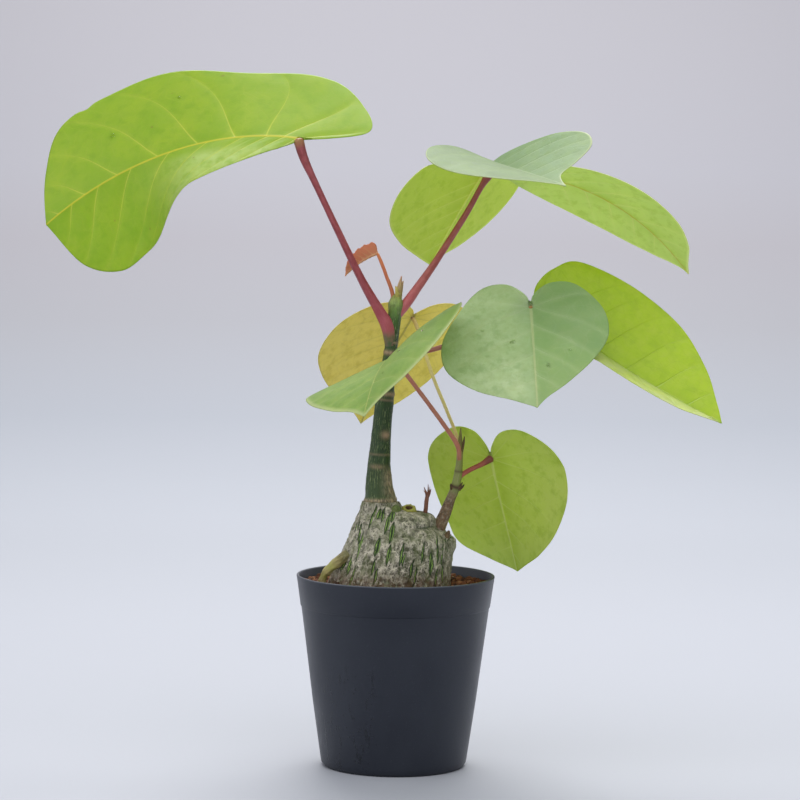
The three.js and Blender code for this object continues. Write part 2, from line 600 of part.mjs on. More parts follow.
const stemRoom = limbSolid('main_stem', GAP);
const branchRoom = limbSolid('side_branch', GAP);
const caudexRoom = caudex(GAP);
const bodies = {
  pot: pot(),
  soil: soil(),
  caudex: caudex(),
  main_stem: branched('main_stem').subtract(caudexRoom),
  side_branch: branched('side_branch').subtract(caudexRoom),
  dead_twig: branched('dead_twig').add(joined(TWIG_SPIKES)).subtract(caudexRoom),
  tip_bud: joined(TIP_SCALES).subtract(stemRoom).subtract(branched('petiole_young', GAP)),
  side_bud: joined(SIDE_SCALES).subtract(branchRoom).subtract(branched('petiole_yellow', GAP))
    .subtract(branched('petiole_edge', GAP)),
};
for (const name of ['petiole_top_left', 'petiole_top_right', 'petiole_young', 'petiole_heart']) {
  bodies[name] = branched(name).subtract(stemRoom);
}
for (const name of ['petiole_yellow', 'petiole_edge', 'petiole_lower']) {
  bodies[name] = branched(name).subtract(branchRoom);
}
for (const name of Object.keys(LEAVES)) bodies[name] = notchedBlade(name);

const plant = new THREE.Group();
for (const [name, body] of Object.entries(bodies)) {
  const mesh = new THREE.Mesh(geometryOf(body), colours[name]);
  mesh.name = name;
  plant.add(mesh);
}

export default plant;
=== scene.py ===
"""Potted shaving brush tree: the plant, its soil and its nursery pot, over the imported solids.

Lengths in the classes are millimetres and the meshes are metres. +Z is up, +Y is away from the
front view, and the origin is the centre of the pot's underside.
"""

from __future__ import annotations

import logging
import math
import random
from dataclasses import dataclass, field
from enum import Enum

import bmesh
import bpy
from mathutils import Matrix, Vector, noise


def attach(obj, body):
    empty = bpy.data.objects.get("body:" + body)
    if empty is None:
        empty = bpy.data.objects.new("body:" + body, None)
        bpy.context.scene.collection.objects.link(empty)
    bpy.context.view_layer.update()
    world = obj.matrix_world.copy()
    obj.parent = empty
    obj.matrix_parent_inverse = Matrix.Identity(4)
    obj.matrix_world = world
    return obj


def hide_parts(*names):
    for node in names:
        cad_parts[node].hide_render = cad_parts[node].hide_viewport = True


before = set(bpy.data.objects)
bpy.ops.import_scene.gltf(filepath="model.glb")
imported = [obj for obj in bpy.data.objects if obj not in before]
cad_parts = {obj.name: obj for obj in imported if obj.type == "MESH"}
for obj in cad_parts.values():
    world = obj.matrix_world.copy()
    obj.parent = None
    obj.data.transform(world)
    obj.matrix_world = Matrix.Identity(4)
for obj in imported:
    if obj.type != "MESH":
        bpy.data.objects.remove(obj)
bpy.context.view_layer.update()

MM = 0.001
CM_IN_MM = 10
TAU = 2 * math.pi
BODY = "root"

# Points closer than this are one: in millimetres while a piece is made, in metres once it is
JOIN = 1e-4
WELD = 1e-7

log = logging.getLogger("shaving_brush_tree")

Colour = tuple[float, float, float]
Row = tuple[float, ...]
Span = tuple[float, float]
Run = tuple[tuple[float, str], ...]


# Small sums


def srgb(code: str) -> Colour:
    """Turns a six-digit sRGB code into linear red, green and blue."""
    parts = [int(code[k:k + 2], 16) / 255 for k in (0, 2, 4)]
    return tuple(c / 12.92 if c <= 0.04045 else ((c + 0.055) / 1.055) ** 2.4 for c in parts)


def lerp(a: float, b: float, t: float) -> float:
    """The value a share t of the way from a to b."""
    return a + (b - a) * t


def clamp(x: float, low: float = 0.0, high: float = 1.0) -> float:
    """x kept between low and high."""
    return max(low, min(high, x))


def smooth(x: float, low: float, high: float) -> float:
    """0 below low, 1 above high and an S-curve between them."""
    t = clamp((x - low) / (high - low))
    return t * t * (3 - 2 * t)


def hump(x: float, width: float) -> float:
    """A bell that is 1 at 0 and fades over width to either side."""
    return math.exp(-(x / width) ** 2)


def through(points: tuple[Row, ...], t: float) -> Row:
    """Reads a smooth curve through points of any size.

    Args:
        points: The points that the curve passes, evenly spread from 0 to 1.
        t: The place on the curve.

    Returns:
        The curve's value at t, with as many numbers as each point.
    """
    last = len(points) - 1
    i = min(int(t * last), last - 1)
    f = t * last - i
    found = []
    for k in range(len(points[0])):
        p1, p2 = points[i][k], points[i + 1][k]
        p0 = points[i - 1][k] if i > 0 else 2 * p1 - p2
        p3 = points[i + 2][k] if i + 2 <= last else 2 * p2 - p1
        found.append(0.5 * (2 * p1 + (p2 - p0) * f + (2 * p0 - 5 * p1 + 4 * p2 - p3) * f * f
                            + (3 * p1 - p0 - 3 * p2 + p3) * f ** 3))
    return tuple(found)


def grain(x: float, y: float, z: float = 0.0, octaves: int = 3) -> float:
    """Smooth noise of about -1 to 1 at a point."""
    return noise.fractal(Vector((x, y, z)), 1.0, 2.0, octaves)


# Shader maths


class Socket:
    """A shader socket that Python's operators work on."""

    def __init__(self, graph: Graph, socket: bpy.types.NodeSocket) -> None:
        """Wraps a socket of a graph's node."""
        self.graph = graph
        self.socket = socket

    def of(self, output: str) -> Socket:
        """Another output of the same node."""
        return Socket(self.graph, self.socket.node.outputs[output])

    def _with(self, operation: str, *values: Value) -> Socket:
        """A Math node on these values."""
        return self.graph.node("ShaderNodeMath", {"operation": operation}, dict(enumerate(values)))

    def __add__(self, other: Value) -> Socket:
        """self + other."""
        return self._with("ADD", self, other)

    def __sub__(self, other: Value) -> Socket:
        """self - other."""
        return self._with("SUBTRACT", self, other)

    def __rsub__(self, other: Value) -> Socket:
        """other - self."""
        return self._with("SUBTRACT", other, self)

    def __mul__(self, other: Value) -> Socket:
        """self * other."""
        return self._with("MULTIPLY", self, other)

    def __abs__(self) -> Socket:
        """The size of self."""
        return self._with("ABSOLUTE", self)

    __radd__ = __add__
    __rmul__ = __mul__

    def most(self, other: Value) -> Socket:
        """The larger of self and other."""
        return self._with("MAXIMUM", self, other)

    def step(self, low: float, high: float) -> Socket:
        """0 below low, 1 above high and an S-curve between; low above high turns it round."""
        a, b, ends = (low, high, (0.0, 1.0)) if low < high else (high, low, (1.0, 0.0))
        return self.graph.node(
            "ShaderNodeMapRange", {"interpolation_type": "SMOOTHSTEP"},
            {"Value": self, "From Min": a, "From Max": b, "To Min": ends[0], "To Max": ends[1]})


Value = Socket | float | Colour | str


class Graph:
    """A material's node tree."""

    def __init__(self, name: str) -> None:
        """Starts an empty material of that name.

        Args:
            name: The material's name.
        """
        self.material = bpy.data.materials.new(name)
        self.material.use_nodes = True
        self.tree = self.material.node_tree
        self.tree.nodes.clear()

    def node(self, kind: str, settings: dict | None = None, values: dict | None = None,
             output: str | int | None = 0) -> Socket | None:
        """Adds a node.

        Args:
            kind: The node's type.
            settings: Its properties, which are set first. A ramp's places and colours are "stops".
            values: Values, sRGB codes or links, by socket name or number.
            output: The output to hand back, or None for a node that has none.

        Returns:
            That output.
        """
        made = self.tree.nodes.new(kind)
        for key, value in (settings or {}).items():
            if key == "stops":
                elements = made.color_ramp.elements
                while len(elements) < len(value):
                    elements.new(0.5)
                for element, (place, code) in zip(elements, value):
                    element.position = place
                    element.color = (*srgb(code), 1.0)
            else:
                setattr(made, key, value)
        for key, value in (values or {}).items():
            target = made.inputs[key]
            if isinstance(value, Socket):
                self.tree.links.new(value.socket, target)
            elif target.type == "RGBA":
                colour = srgb(value) if isinstance(value, str) else value
                target.default_value = (*colour, 1.0)
            else:
                target.default_value = value
        return None if output is None else Socket(self, made.outputs[output])

    def attribute(self, name: str) -> Socket:
        """A number that is kept on the mesh."""
        return self.node("ShaderNodeAttribute", {"attribute_name": name}, output="Fac")

    def place(self, scale: Colour = (1.0, 1.0, 1.0)) -> Socket:
        """Object coordinates, in millimetres and then scaled."""
        where = self.node("ShaderNodeTexCoord", output="Object")
        return self.node("ShaderNodeVectorMath", {"operation": "MULTIPLY"},
                         {0: where, 1: tuple(s / MM for s in scale)})

    def parts(self, where: Socket) -> tuple[Socket, Socket, Socket]:
        """The three numbers of a place."""
        x = self.node("ShaderNodeSeparateXYZ", None, {0: where}, output="X")
        return x, x.of("Y"), x.of("Z")

    def sheet(self, scale: Colour = (1.0, 1.0, 1.0)) -> Socket:
        """The piece's own flat coordinates, in centimetres and then scaled."""
        where = self.node("ShaderNodeUVMap", {"uv_map": "flat"})
        return self.node("ShaderNodeVectorMath", {"operation": "MULTIPLY"}, {0: where, 1: scale})

    def noise(self, where: Socket, scale: float, detail: float = 3.0,
              rough: float = 0.55) -> Socket:
        """Cloudy noise from 0 to 1."""
        return self.node("ShaderNodeTexNoise", None,
                         {"Vector": where, "Scale": scale, "Detail": detail, "Roughness": rough})

    def cells(self, where: Socket, scale: float, feature: str = "DISTANCE_TO_EDGE") -> Socket:
        """Distances in a net of uneven cells."""
        return self.node("ShaderNodeTexVoronoi", {"feature": feature},
                         {"Vector": where, "Scale": scale}, output="Distance")

    def mix(self, share: Value, a: Socket | str, b: Socket | str) -> Socket:
        """The colour a share of the way from a to b."""
        return self.node("ShaderNodeMix", {"data_type": "RGBA"}, {0: share, 6: a, 7: b}, output=2)

    def ramp(self, value: Socket, run: Run) -> Socket:
        """A colour read from a run of places and sRGB codes."""
        return self.node("ShaderNodeValToRGB", {"stops": run}, {0: value})

    def bump(self, height: Socket, depth: float) -> Socket:
        """A normal bent by a height, where 1 stands depth millimetres proud."""
        return self.node("ShaderNodeBump", None,
                         {"Strength": 1.0, "Distance": depth * MM, "Height": height})

    def principled(self, values: dict) -> Socket:
        """The main shader."""
        return self.node("ShaderNodeBsdfPrincipled", None, values)

    def translucent(self, colour: str, normal: Socket) -> Socket:
        """A shader that lets the light behind it through."""
        return self.node("ShaderNodeBsdfTranslucent", None, {"Color": colour, "Normal": normal})

    def blend(self, share: Value, a: Socket, b: Socket) -> Socket:
        """The shader a share of the way from a to b."""
        return self.node("ShaderNodeMixShader", None, {0: share, 1: a, 2: b})

    def close(self, shader: Socket) -> bpy.types.Material:
        """Joins the shader to the output and hands back the material."""
        self.node("ShaderNodeOutputMaterial", None, {"Surface": shader}, output=None)
        return self.material


# Finishes


@dataclass(frozen=True)
class LeafFinish:
    """The skin of a leaf: its two sides, its veins, and the light that comes through it."""

    name: str
    upper: str
    lower: str
    fresh: str
    vein: str
    glow: str
    net: str = ""
    rib: str = ""
    edge: str = ""
    deep: str = ""
    # a pale tone painted on as a sheen
    painted_sheen: str = ""
    tip: str = ""
    left: str = ""
    right: str = ""
    mark: str = "8a6a2c"
    marks: float = 0.0
    vein_share: float = 0.5
    net_share: float = 0.1
    tone_share: float = 0.75
    patch_share: float = 0.45
    dapple_share: float = 0.4
    edge_share: float = 0.7
    lit: float = 0.42
    shut: float = 0.0
    roughness: float = 0.42
    rim: float = 0.9
    depth: float = 0.2
    line_mm: Span = (0.52, 0.08)
    halo_mm: Span = (2.2, 0.3)
    midrib_mm: Span = (1.0, 0.4)
    net_scale: float = 1.7
    mesh_scale: float = 5.0

    def material(self) -> bpy.types.Material:
        """The leaf's shader, drawn along the veins that the mesh carries.

        Returns:
            The material.
        """
        g = Graph(self.name)
        flat = g.sheet()
        lateral, midrib = g.attribute("vein_mm"), g.attribute("rib_mm")
        under, margin = g.attribute("under"), g.attribute("edge_mm")
        along, half = g.attribute("along"), g.attribute("half")
        body = self.blade_tones(g, g.mix(under, self.upper, self.lower), along, half, midrib)
        body = g.mix(g.noise(flat, 0.5, 4).step(0.38, 0.68) * self.patch_share, body, self.fresh)
        dapple = g.noise(flat, 2.4, 4, 0.65).step(0.35, 0.7)
        body = g.mix(dapple * self.dapple_share, body, self.lower)
        if self.deep:
            shade = midrib.step(15.0, 0.0) * 0.5 * g.noise(flat, 0.7, 3).step(0.3, 0.6)
            shade = shade.most(g.noise(flat, 1.6, 5, 0.65).step(0.46, 0.66) * 0.5)
            body = g.mix(shade, body, self.deep)
        line, rib = lateral.step(*self.line_mm), midrib.step(*self.midrib_mm)
        halo = lateral.step(*self.halo_mm) * 0.1
        net = g.cells(flat, self.net_scale).step(0.05, 0.012)
        mesh = g.cells(flat, self.mesh_scale).step(0.08, 0.02)
        fade = g.noise(flat, 0.9, 2).step(0.35, 0.65)
        lace = (net * 0.6 + mesh * 0.4) * fade * self.net_share
        body = g.mix(lace, body, self.net or self.vein)
        body = g.mix(halo + line * self.vein_share, body, self.vein)
        body = g.mix(rib * min(1.0, self.vein_share + 0.25), body, self.rib or self.vein)
        if self.edge:
            body = g.mix(margin.step(self.rim, 0.1) * self.edge_share, body, self.edge)
        if self.marks:
            spots = g.cells(flat, 1.15, "F1").step(0.1, 0.04) * g.noise(flat, 0.8).step(0.52, 0.6)
            body = g.mix(spots * self.marks, body, self.mark)
        relief = line * -0.5 + rib * 0.5 - net * 0.1 - mesh * 0.04 + g.noise(flat, 7.0, 4) * 0.3
        normal = g.bump(relief, self.depth)
        sheen = g.noise(flat, 1.4, 4) * 0.16 + (self.roughness - 0.08) + under * 0.12
        skin = g.principled({
            "Base Color": body, "Roughness": sheen, "Normal": normal, "Specular IOR Level": 0.45,
            "Sheen Weight": 0.08, "Sheen Roughness": 0.6})
        veined = line * (self.vein_share * 0.7) + rib * 0.4 + net * 0.1
        glow = g.blend(veined, g.translucent(self.glow, normal),
                       g.translucent(self.rib or self.vein, normal))
        return g.close(g.blend(half.step(0.6, 0.1) * -self.shut + self.lit, skin, glow))

    def blade_tones(self, g: Graph, body: Socket, along: Socket, half: Socket,
                    midrib: Socket) -> Socket:
        """Lays the wide tones over a leaf that is lighter or darker in places, and a painted sheen:
        a pale tone on the left half near the stalk, clear of the midrib.

        Args:
            g: The leaf's graph.
            body: The colour of its two sides.
            along: The place from stalk to tip.
            half: 1 on the left half and 0 on the right one.
            midrib: The distance from the midrib.

        Returns:
            The colour with the tones on it.
        """
        # painted sheen: a pale tone on the left half near the stalk, clear of the midrib
        sheen_patch = half.step(0.5, 1.0) * along.step(0.62, 0.34) * midrib.step(3.0, 12.0)
        for tone, share in ((self.tip, along.step(0.25, 1.0)), (self.left, half.step(0.4, 0.9)),
                            (self.right, half.step(0.6, 0.1)), (self.painted_sheen, sheen_patch)):
            if tone:
                body = g.mix(share * self.tone_share, body, tone)
        return body


@dataclass(frozen=True)
class StalkFinish:
    """The skin of a stem or stalk: a run of colours from foot to tip, streaks and scars."""

    name: str
    run: Run
    streak: str
    streak_share: float = 0.3
    streak_width: float = 1.0
    scar: str = "8c6a52"
    cracks: str = ""
    bark: str = ""
    cork_dark: str = "3d3327"
    cork_pale: str = "b9ab93"
    roughness: float = 0.42
    depth: float = 0.2

    def material(self) -> bpy.types.Material:
        """The stalk's shader, drawn along its length.

        Returns:
            The material.
        """
        g = Graph(self.name)
        scar = g.attribute("scar")
        flat = g.sheet()
        body = g.ramp(g.attribute("along"), self.run)
        body = g.mix(g.noise(flat, 2.2, 4).step(0.3, 0.75) * 0.3, body, self.streak)
        thread = g.noise(g.sheet((7.0 / self.streak_width, 0.9, 1.0)), 1.3, 4).step(0.52, 0.68)
        body = g.mix(thread * self.streak_share, body, self.streak)
        relief = thread * 0.6 + g.noise(flat, 14.0, 3) * 0.5
        if self.cracks:
            crack = abs(g.noise(g.sheet((6.0, 0.9, 1.0)), 0.9, 3) - 0.5).step(0.03, 0.006)
            crack = crack * g.noise(flat, 2.0, 3).step(0.4, 0.55)
            body = g.mix(crack * 0.65, body, self.cracks)
            relief = relief + crack * 0.8
        if self.bark:
            bark = g.attribute("bark")
            flakes = g.cells(g.sheet((5.0, 1.6, 1.0)), 1.4).step(0.16, 0.03)
            cork = g.mix(flakes * 0.7, self.bark, self.cork_dark)
            cork = g.mix(g.noise(flat, 7.0, 4).step(0.45, 0.7) * 0.5, cork, self.cork_pale)
            body = g.mix(bark, body, cork)
            relief = relief - flakes * bark
        body = g.mix(scar, body, self.scar)
        relief = relief + scar * g.noise(flat, 20.0, 3)
        rough = g.noise(flat, 5.0) * 0.2 + scar * 0.2 + self.roughness - 0.1
        return g.close(g.principled({
            "Base Color": body, "Roughness": rough, "Normal": g.bump(relief, self.depth),
            "Specular IOR Level": 0.45}))


@dataclass(frozen=True)
class BarkFinish:
    """The weathered skin of the swollen base: a pale net over green fissures."""

    name: str = "caudex_bark"
    skin: str = "989684"
    dark: str = "5f6048"
    pale: str = "e0d9c6"
    damp: str = "474c34"
    grime: str = "2c2f22"
    moss: str = "5c6a34"
    green: str = "20401a"
    bright: str = "a4c868"
    earth: str = "5b3d28"
    damp_left: Span = (-12.0, 4.0)
    damp_right: Span = (22.0, 12.0)
    damp_top: Span = (112.0, 98.0)
    net_scale: float = 0.36
    lace_scale: float = 0.85
    depth: float = 0.6

    def material(self) -> bpy.types.Material:
        """The bark's shader, drawn over the fissures and the crust that the mesh carries.

        Returns:
            The material.
        """
        g = Graph(self.name)
        fissure = g.attribute("fissure")
        upright, even = g.place((1.0, 1.0, 0.6)), g.place()
        crumpled = g.node("ShaderNodeVectorMath", {"operation": "MULTIPLY_ADD"},
                          {0: g.noise(even, 0.3, 3).of("Color"), 1: (4.0, 4.0, 4.0), 2: upright})
        x, _, z = g.parts(even)
        damp = x.step(*self.damp_left) * x.step(*self.damp_right) * z.step(*self.damp_top)
        body = g.mix(g.noise(even, 0.14, 5, 0.65).step(0.38, 0.62), self.dark, self.skin)
        body = g.mix(damp * 0.85, body, self.damp)
        body = g.mix(g.attribute("crust") * 0.35, body, self.pale)
        grime = g.noise(upright, 0.5, 6, 0.75).step(0.46, 0.62)
        body = g.mix(grime * 0.75, body, self.grime)
        net = g.cells(crumpled, self.net_scale).step(0.14, 0.04)
        lace = g.cells(crumpled, self.lace_scale).step(0.2, 0.07)
        worn = g.noise(even, 0.35, 3).step(0.36, 0.58)
        body = g.mix((net * 0.6 + lace * 0.5) * worn, body, self.pale)
        moss = g.noise(g.place((1.0, 1.0, 0.3)), 0.3, 4).step(0.45, 0.62)
        body = g.mix(moss * 0.5, body, self.moss)
        body = g.mix(fissure.step(0.25, 0.6) * 0.9, body, self.green)
        sap = g.attribute("sap").step(0.2, 0.7) * g.noise(upright, 0.6, 3).step(0.3, 0.5)
        body = g.mix(sap, body, self.bright)
        soiled = g.attribute("soiled") * g.noise(even, 0.5, 5).step(0.35, 0.55)
        body = g.mix(soiled * 0.85, body, self.earth)
        relief = (net * 0.5 + lace * 0.3) * worn - grime * 0.5 + g.noise(even, 1.2, 6, 0.75) * 1.2
        rough = g.noise(even, 1.2) * 0.2 + 0.66 - fissure * 0.15
        return g.close(g.principled({
            "Base Color": body, "Roughness": rough, "Specular IOR Level": 0.35,
            "Normal": g.bump(relief - fissure * 0.3, self.depth)}))


@dataclass(frozen=True)
class PlainFinish:
    """A small piece of one colour run from foot to tip, mottled and fine grained."""

    name: str
    foot: str
    tip: str
    mottle: str
    roughness: float = 0.6
    depth: float = 0.15

    def material(self) -> bpy.types.Material:
        """The small piece's shader.

        Returns:
            The material.
        """
        g = Graph(self.name)
        even = g.place()
        fibre = g.noise(g.place((3.0, 3.0, 0.7)), 1.0, 4).step(0.42, 0.66)
        body = g.mix(g.attribute("along"), self.foot, self.tip)
        rough = g.noise(even, 2.0) * 0.2 + self.roughness - 0.1
        return g.close(g.principled({
            "Base Color": g.mix(fibre * 0.5, body, self.mottle), "Roughness": rough,
            "Normal": g.bump(fibre + g.noise(even, 4.0, 4), self.depth)}))


@dataclass(frozen=True)
class PotFinish:
    """Moulded dark plastic with a painted highlight and a few scuffs at the lip, and wet runs low
    on one side.
    """

    name: str = "pot_plastic"
    body: str = "181b24"
    haze: str = "262a33"
    # worn is the lip's colour: a painted highlight, with a few scuffs
    worn: str = "484d57"
    wet: str = "0c0e12"
    dust: str = "8a8f99"
    shine: Colour = (0.84, 0.9, 1.0)
    lip: Span = (86.2, 86.9)
    wet_left: Span = (-36.0, -29.0)
    wet_right: Span = (-2.0, -12.0)
    wet_top: Span = (60.0, 42.0)
    wet_front: Span = (0.0, -8.0)
    depth: float = 0.08

    def material(self) -> bpy.types.Material:
        """The pot's shader.

        Returns:
            The material.
        """
        g = Graph(self.name)
        even = g.place()
        x, y, z = g.parts(even)
        haze = g.noise(g.place((1.0, 1.0, 0.5)), 0.06, 4).step(0.35, 0.7)
        body = g.mix(haze * 0.25, self.body, self.haze)
        # painted highlight: a lighter band all round the lip, with a few scuffs from noise
        lip = z.step(*self.lip) * 0.7 + g.noise(even, 0.8, 3).step(0.62, 0.72) * 0.08
        body = g.mix(lip, body, self.worn)
        area = (x.step(*self.wet_left) * x.step(*self.wet_right) * z.step(*self.wet_top)
                * y.step(*self.wet_front))
        runs = g.noise(g.place((1.0, 1.0, 0.3)), 0.34, 4, 0.6).step(0.56, 0.66)
        drops = g.cells(g.place((1.0, 1.0, 0.7)), 0.42, "F1").step(0.2, 0.12)
        wet = (runs * area).most(drops * area * 0.8)
        body = g.mix(wet * 0.75, body, self.wet)
        body = g.mix(g.noise(even, 2.4, 3).step(0.66, 0.75) * 0.12, body, self.dust)
        fine = g.noise(even, 3.5, 3) * 0.4 + g.noise(g.place((0.2, 0.2, 1.6)), 1.0, 2) * 0.3
        return g.close(g.principled({
            "Base Color": body, "Roughness": haze * 0.08 + 0.36 - wet * 0.2 + lip * 0.1,
            "Normal": g.bump(fine + wet * 0.4, self.depth), "Specular IOR Level": 0.5,
            "Specular Tint": self.shine}))


@dataclass(frozen=True)
class SoilFinish:
    """Reddish brown grit with a few pale grains."""

    name: str = "soil_grit"
    grains: Run = ((0.0, "3a2418"), (0.35, "6a3d25"), (0.62, "8e5a38"), (0.86, "a87b55"),
                   (0.95, "e2d6c6"))
    shadow: str = "2f1d14"
    depth: float = 0.5

    def material(self) -> bpy.types.Material:
        """The grit's shader, coloured grain by grain.

        Returns:
            The material.
        """
        g = Graph(self.name)
        even = g.place()
        shade = g.noise(even, 1.4, 5, 0.7).step(0.4, 0.7) * 0.5
        return g.close(g.principled({
            "Base Color": g.mix(shade, g.ramp(g.attribute("tint"), self.grains), self.shadow),
            "Roughness": g.noise(even, 2.0) * 0.15 + 0.75, "Specular IOR Level": 0.3,
            "Normal": g.bump(g.noise(even, 3.2, 5, 0.7), self.depth)}))


@dataclass(frozen=True)
class WaterFinish:
    """Clear water with the faint unevenness of a drop."""

    name: str = "water_drop"
    tone: str = "f6faf2"
    bending: float = 1.13
    depth: float = 0.04

    def material(self) -> bpy.types.Material:
        """The drop's shader.

        Returns:
            The material.
        """
        g = Graph(self.name)
        ripple = g.noise(g.place(), 0.8, 2)
        return g.close(g.principled({
            "Base Color": self.tone, "Roughness": ripple * 0.05 + 0.02, "IOR": self.bending,
            "Transmission Weight": 1.0, "Normal": g.bump(ripple, self.depth)}))


@dataclass(frozen=True)
class StudioFinish:
    """The pale paper that the pot stands on, with painted shade that darkens it towards the back
    and up the wall.
    """

    name: str = "studio_paper"
    # near, far and rise hold painted shade, not the paper's own colour
    near: str = "a4a8b1"
    far: str = "9a9ea6"
    rise: Run = ((0.055, "9498a0"), (0.13, "8d9199"), (0.3, "8a8b91"), (0.46, "8b8a90"),
                 (0.62, "8f8f96"), (1.0, "949399"))
    fibre: str = "9a9aa2"
    high: float = 450.0
    depth: Span = (250.0, 900.0)

    def material(self) -> bpy.types.Material:
        """The paper's shader, with painted shade: darker towards the back and where the sheet
        curves up.

        Returns:
            The material.
        """
        g = Graph(self.name)
        _, y, z = g.parts(g.place())
        height = z * (1 / self.high)
        # painted shade: the wall darkens up the curve and lightens a little near the top
        wall = g.ramp(height, ((0.0, self.far), *self.rise))
        # painted shade: the floor darkens from front to back
        floor = g.mix(y.step(*self.depth), self.near, self.far)
        tooth = g.noise(g.place(), 0.5, 3)
        body = g.mix(tooth * 0.04, g.mix(height.step(0.0, 0.01), floor, wall), self.fibre)
        return g.close(g.principled({
            "Base Color": body, "Roughness": tooth * 0.06 + 0.5, "Specular IOR Level": 0.3}))


# Meshes


class Net:
    """A grid of points that is bent into a piece, with flat coordinates and numbers kept on it."""

    def __init__(self, rows: int, columns: int, kept: tuple[str, ...]) -> None:
        """Starts a flat grid.

        Args:
            rows: How many rows of points it has.
            columns: How many points each row has.
            kept: The names of the numbers that each point keeps.
        """
        self.bm = bmesh.new()
        self.flat = self.bm.loops.layers.uv.new("flat")
        self.kept = {key: self.bm.verts.layers.float.new(key) for key in kept}
        bmesh.ops.create_grid(self.bm, x_segments=rows - 1, y_segments=columns - 1, size=1.0)
        self.rows = [[None] * columns for _ in range(rows)]
        self.uv: dict[bmesh.types.BMVert, tuple[float, float]] = {}
        for vert in self.bm.verts:
            i = round((vert.co.x + 1) / 2 * (rows - 1))
            j = round((vert.co.y + 1) / 2 * (columns - 1))
            self.rows[i][j] = vert

    def keep(self, vert: bmesh.types.BMVert, **numbers: float) -> None:
        """Keeps numbers on a point."""
        for key, number in numbers.items():
            vert[self.kept[key]] = number

    def read(self, vert: bmesh.types.BMVert, key: str) -> float:
        """A number kept on a point."""
        return vert[self.kept[key]]

    def join(self) -> None:
        """Lays the flat coordinates down, then joins the points that meet."""
        for face in self.bm.faces:
            for loop in face.loops:
                loop[self.flat].uv = self.uv.get(loop.vert, (0.0, 0.0))
        bmesh.ops.remove_doubles(self.bm, verts=self.bm.verts, dist=JOIN)
        bmesh.ops.dissolve_degenerate(self.bm, edges=self.bm.edges, dist=JOIN)
        self.bm.normal_update()


def profile(bm: bmesh.types.BMesh, section: list[Span]) -> list[bmesh.types.BMVert]:
    """Draws a piece's section, a line of radii and heights.

    Args:
        bm: The mesh that it is drawn in.
        section: The radius and height of each point.

    Returns:
        The points in their order.
    """
    line = [bm.verts.new((radius, 0, z)) for radius, z in section]
    for pair in zip(line, line[1:]):
        bm.edges.new(pair)
    return line


def turn_round(bm: bmesh.types.BMesh, steps: int) -> None:
    """Turns the section in a mesh once round the upright axis."""
    bmesh.ops.spin(bm, geom=bm.verts[:] + bm.edges[:], cent=(0, 0, 0), axis=(0, 0, 1), angle=TAU,
                   steps=steps, use_merge=True)


def placed(bm: bmesh.types.BMesh, name: str) -> bpy.types.Object:
    """Turns a mesh into an object of the scene and frees it.

    Args:
        bm: The mesh, in metres.
        name: The object's name.

    Returns:
        The object.
    """
    mesh = bpy.data.meshes.new(name)
    bm.to_mesh(mesh)
    bm.free()
    made = bpy.data.objects.new(name, mesh)
    bpy.context.scene.collection.objects.link(made)
    return made


def finished(bm: bmesh.types.BMesh, name: str, material: bpy.types.Material,
             replaces: tuple[str, ...] = ()) -> bpy.types.Object:
    """Turns a mesh into a piece of the object.

    Args:
        bm: The mesh, in millimetres.
        name: The piece's name.
        material: Its finish.
        replaces: The solids that it stands for.

    Returns:
        The piece.
    """
    bmesh.ops.scale(bm, vec=(MM, MM, MM), verts=bm.verts)
    bmesh.ops.remove_doubles(bm, verts=bm.verts, dist=WELD)
    bmesh.ops.dissolve_degenerate(bm, edges=bm.edges, dist=WELD)
    bmesh.ops.recalc_face_normals(bm, faces=bm.faces)
    for face in bm.faces:
        face.smooth = True
    piece = placed(bm, name)
    piece.data.materials.append(material)
    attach(piece, BODY)
    if replaces:
        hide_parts(*replaces)
    log.info("%s: %d faces", name, len(piece.data.polygons))
    return piece


# Leaves


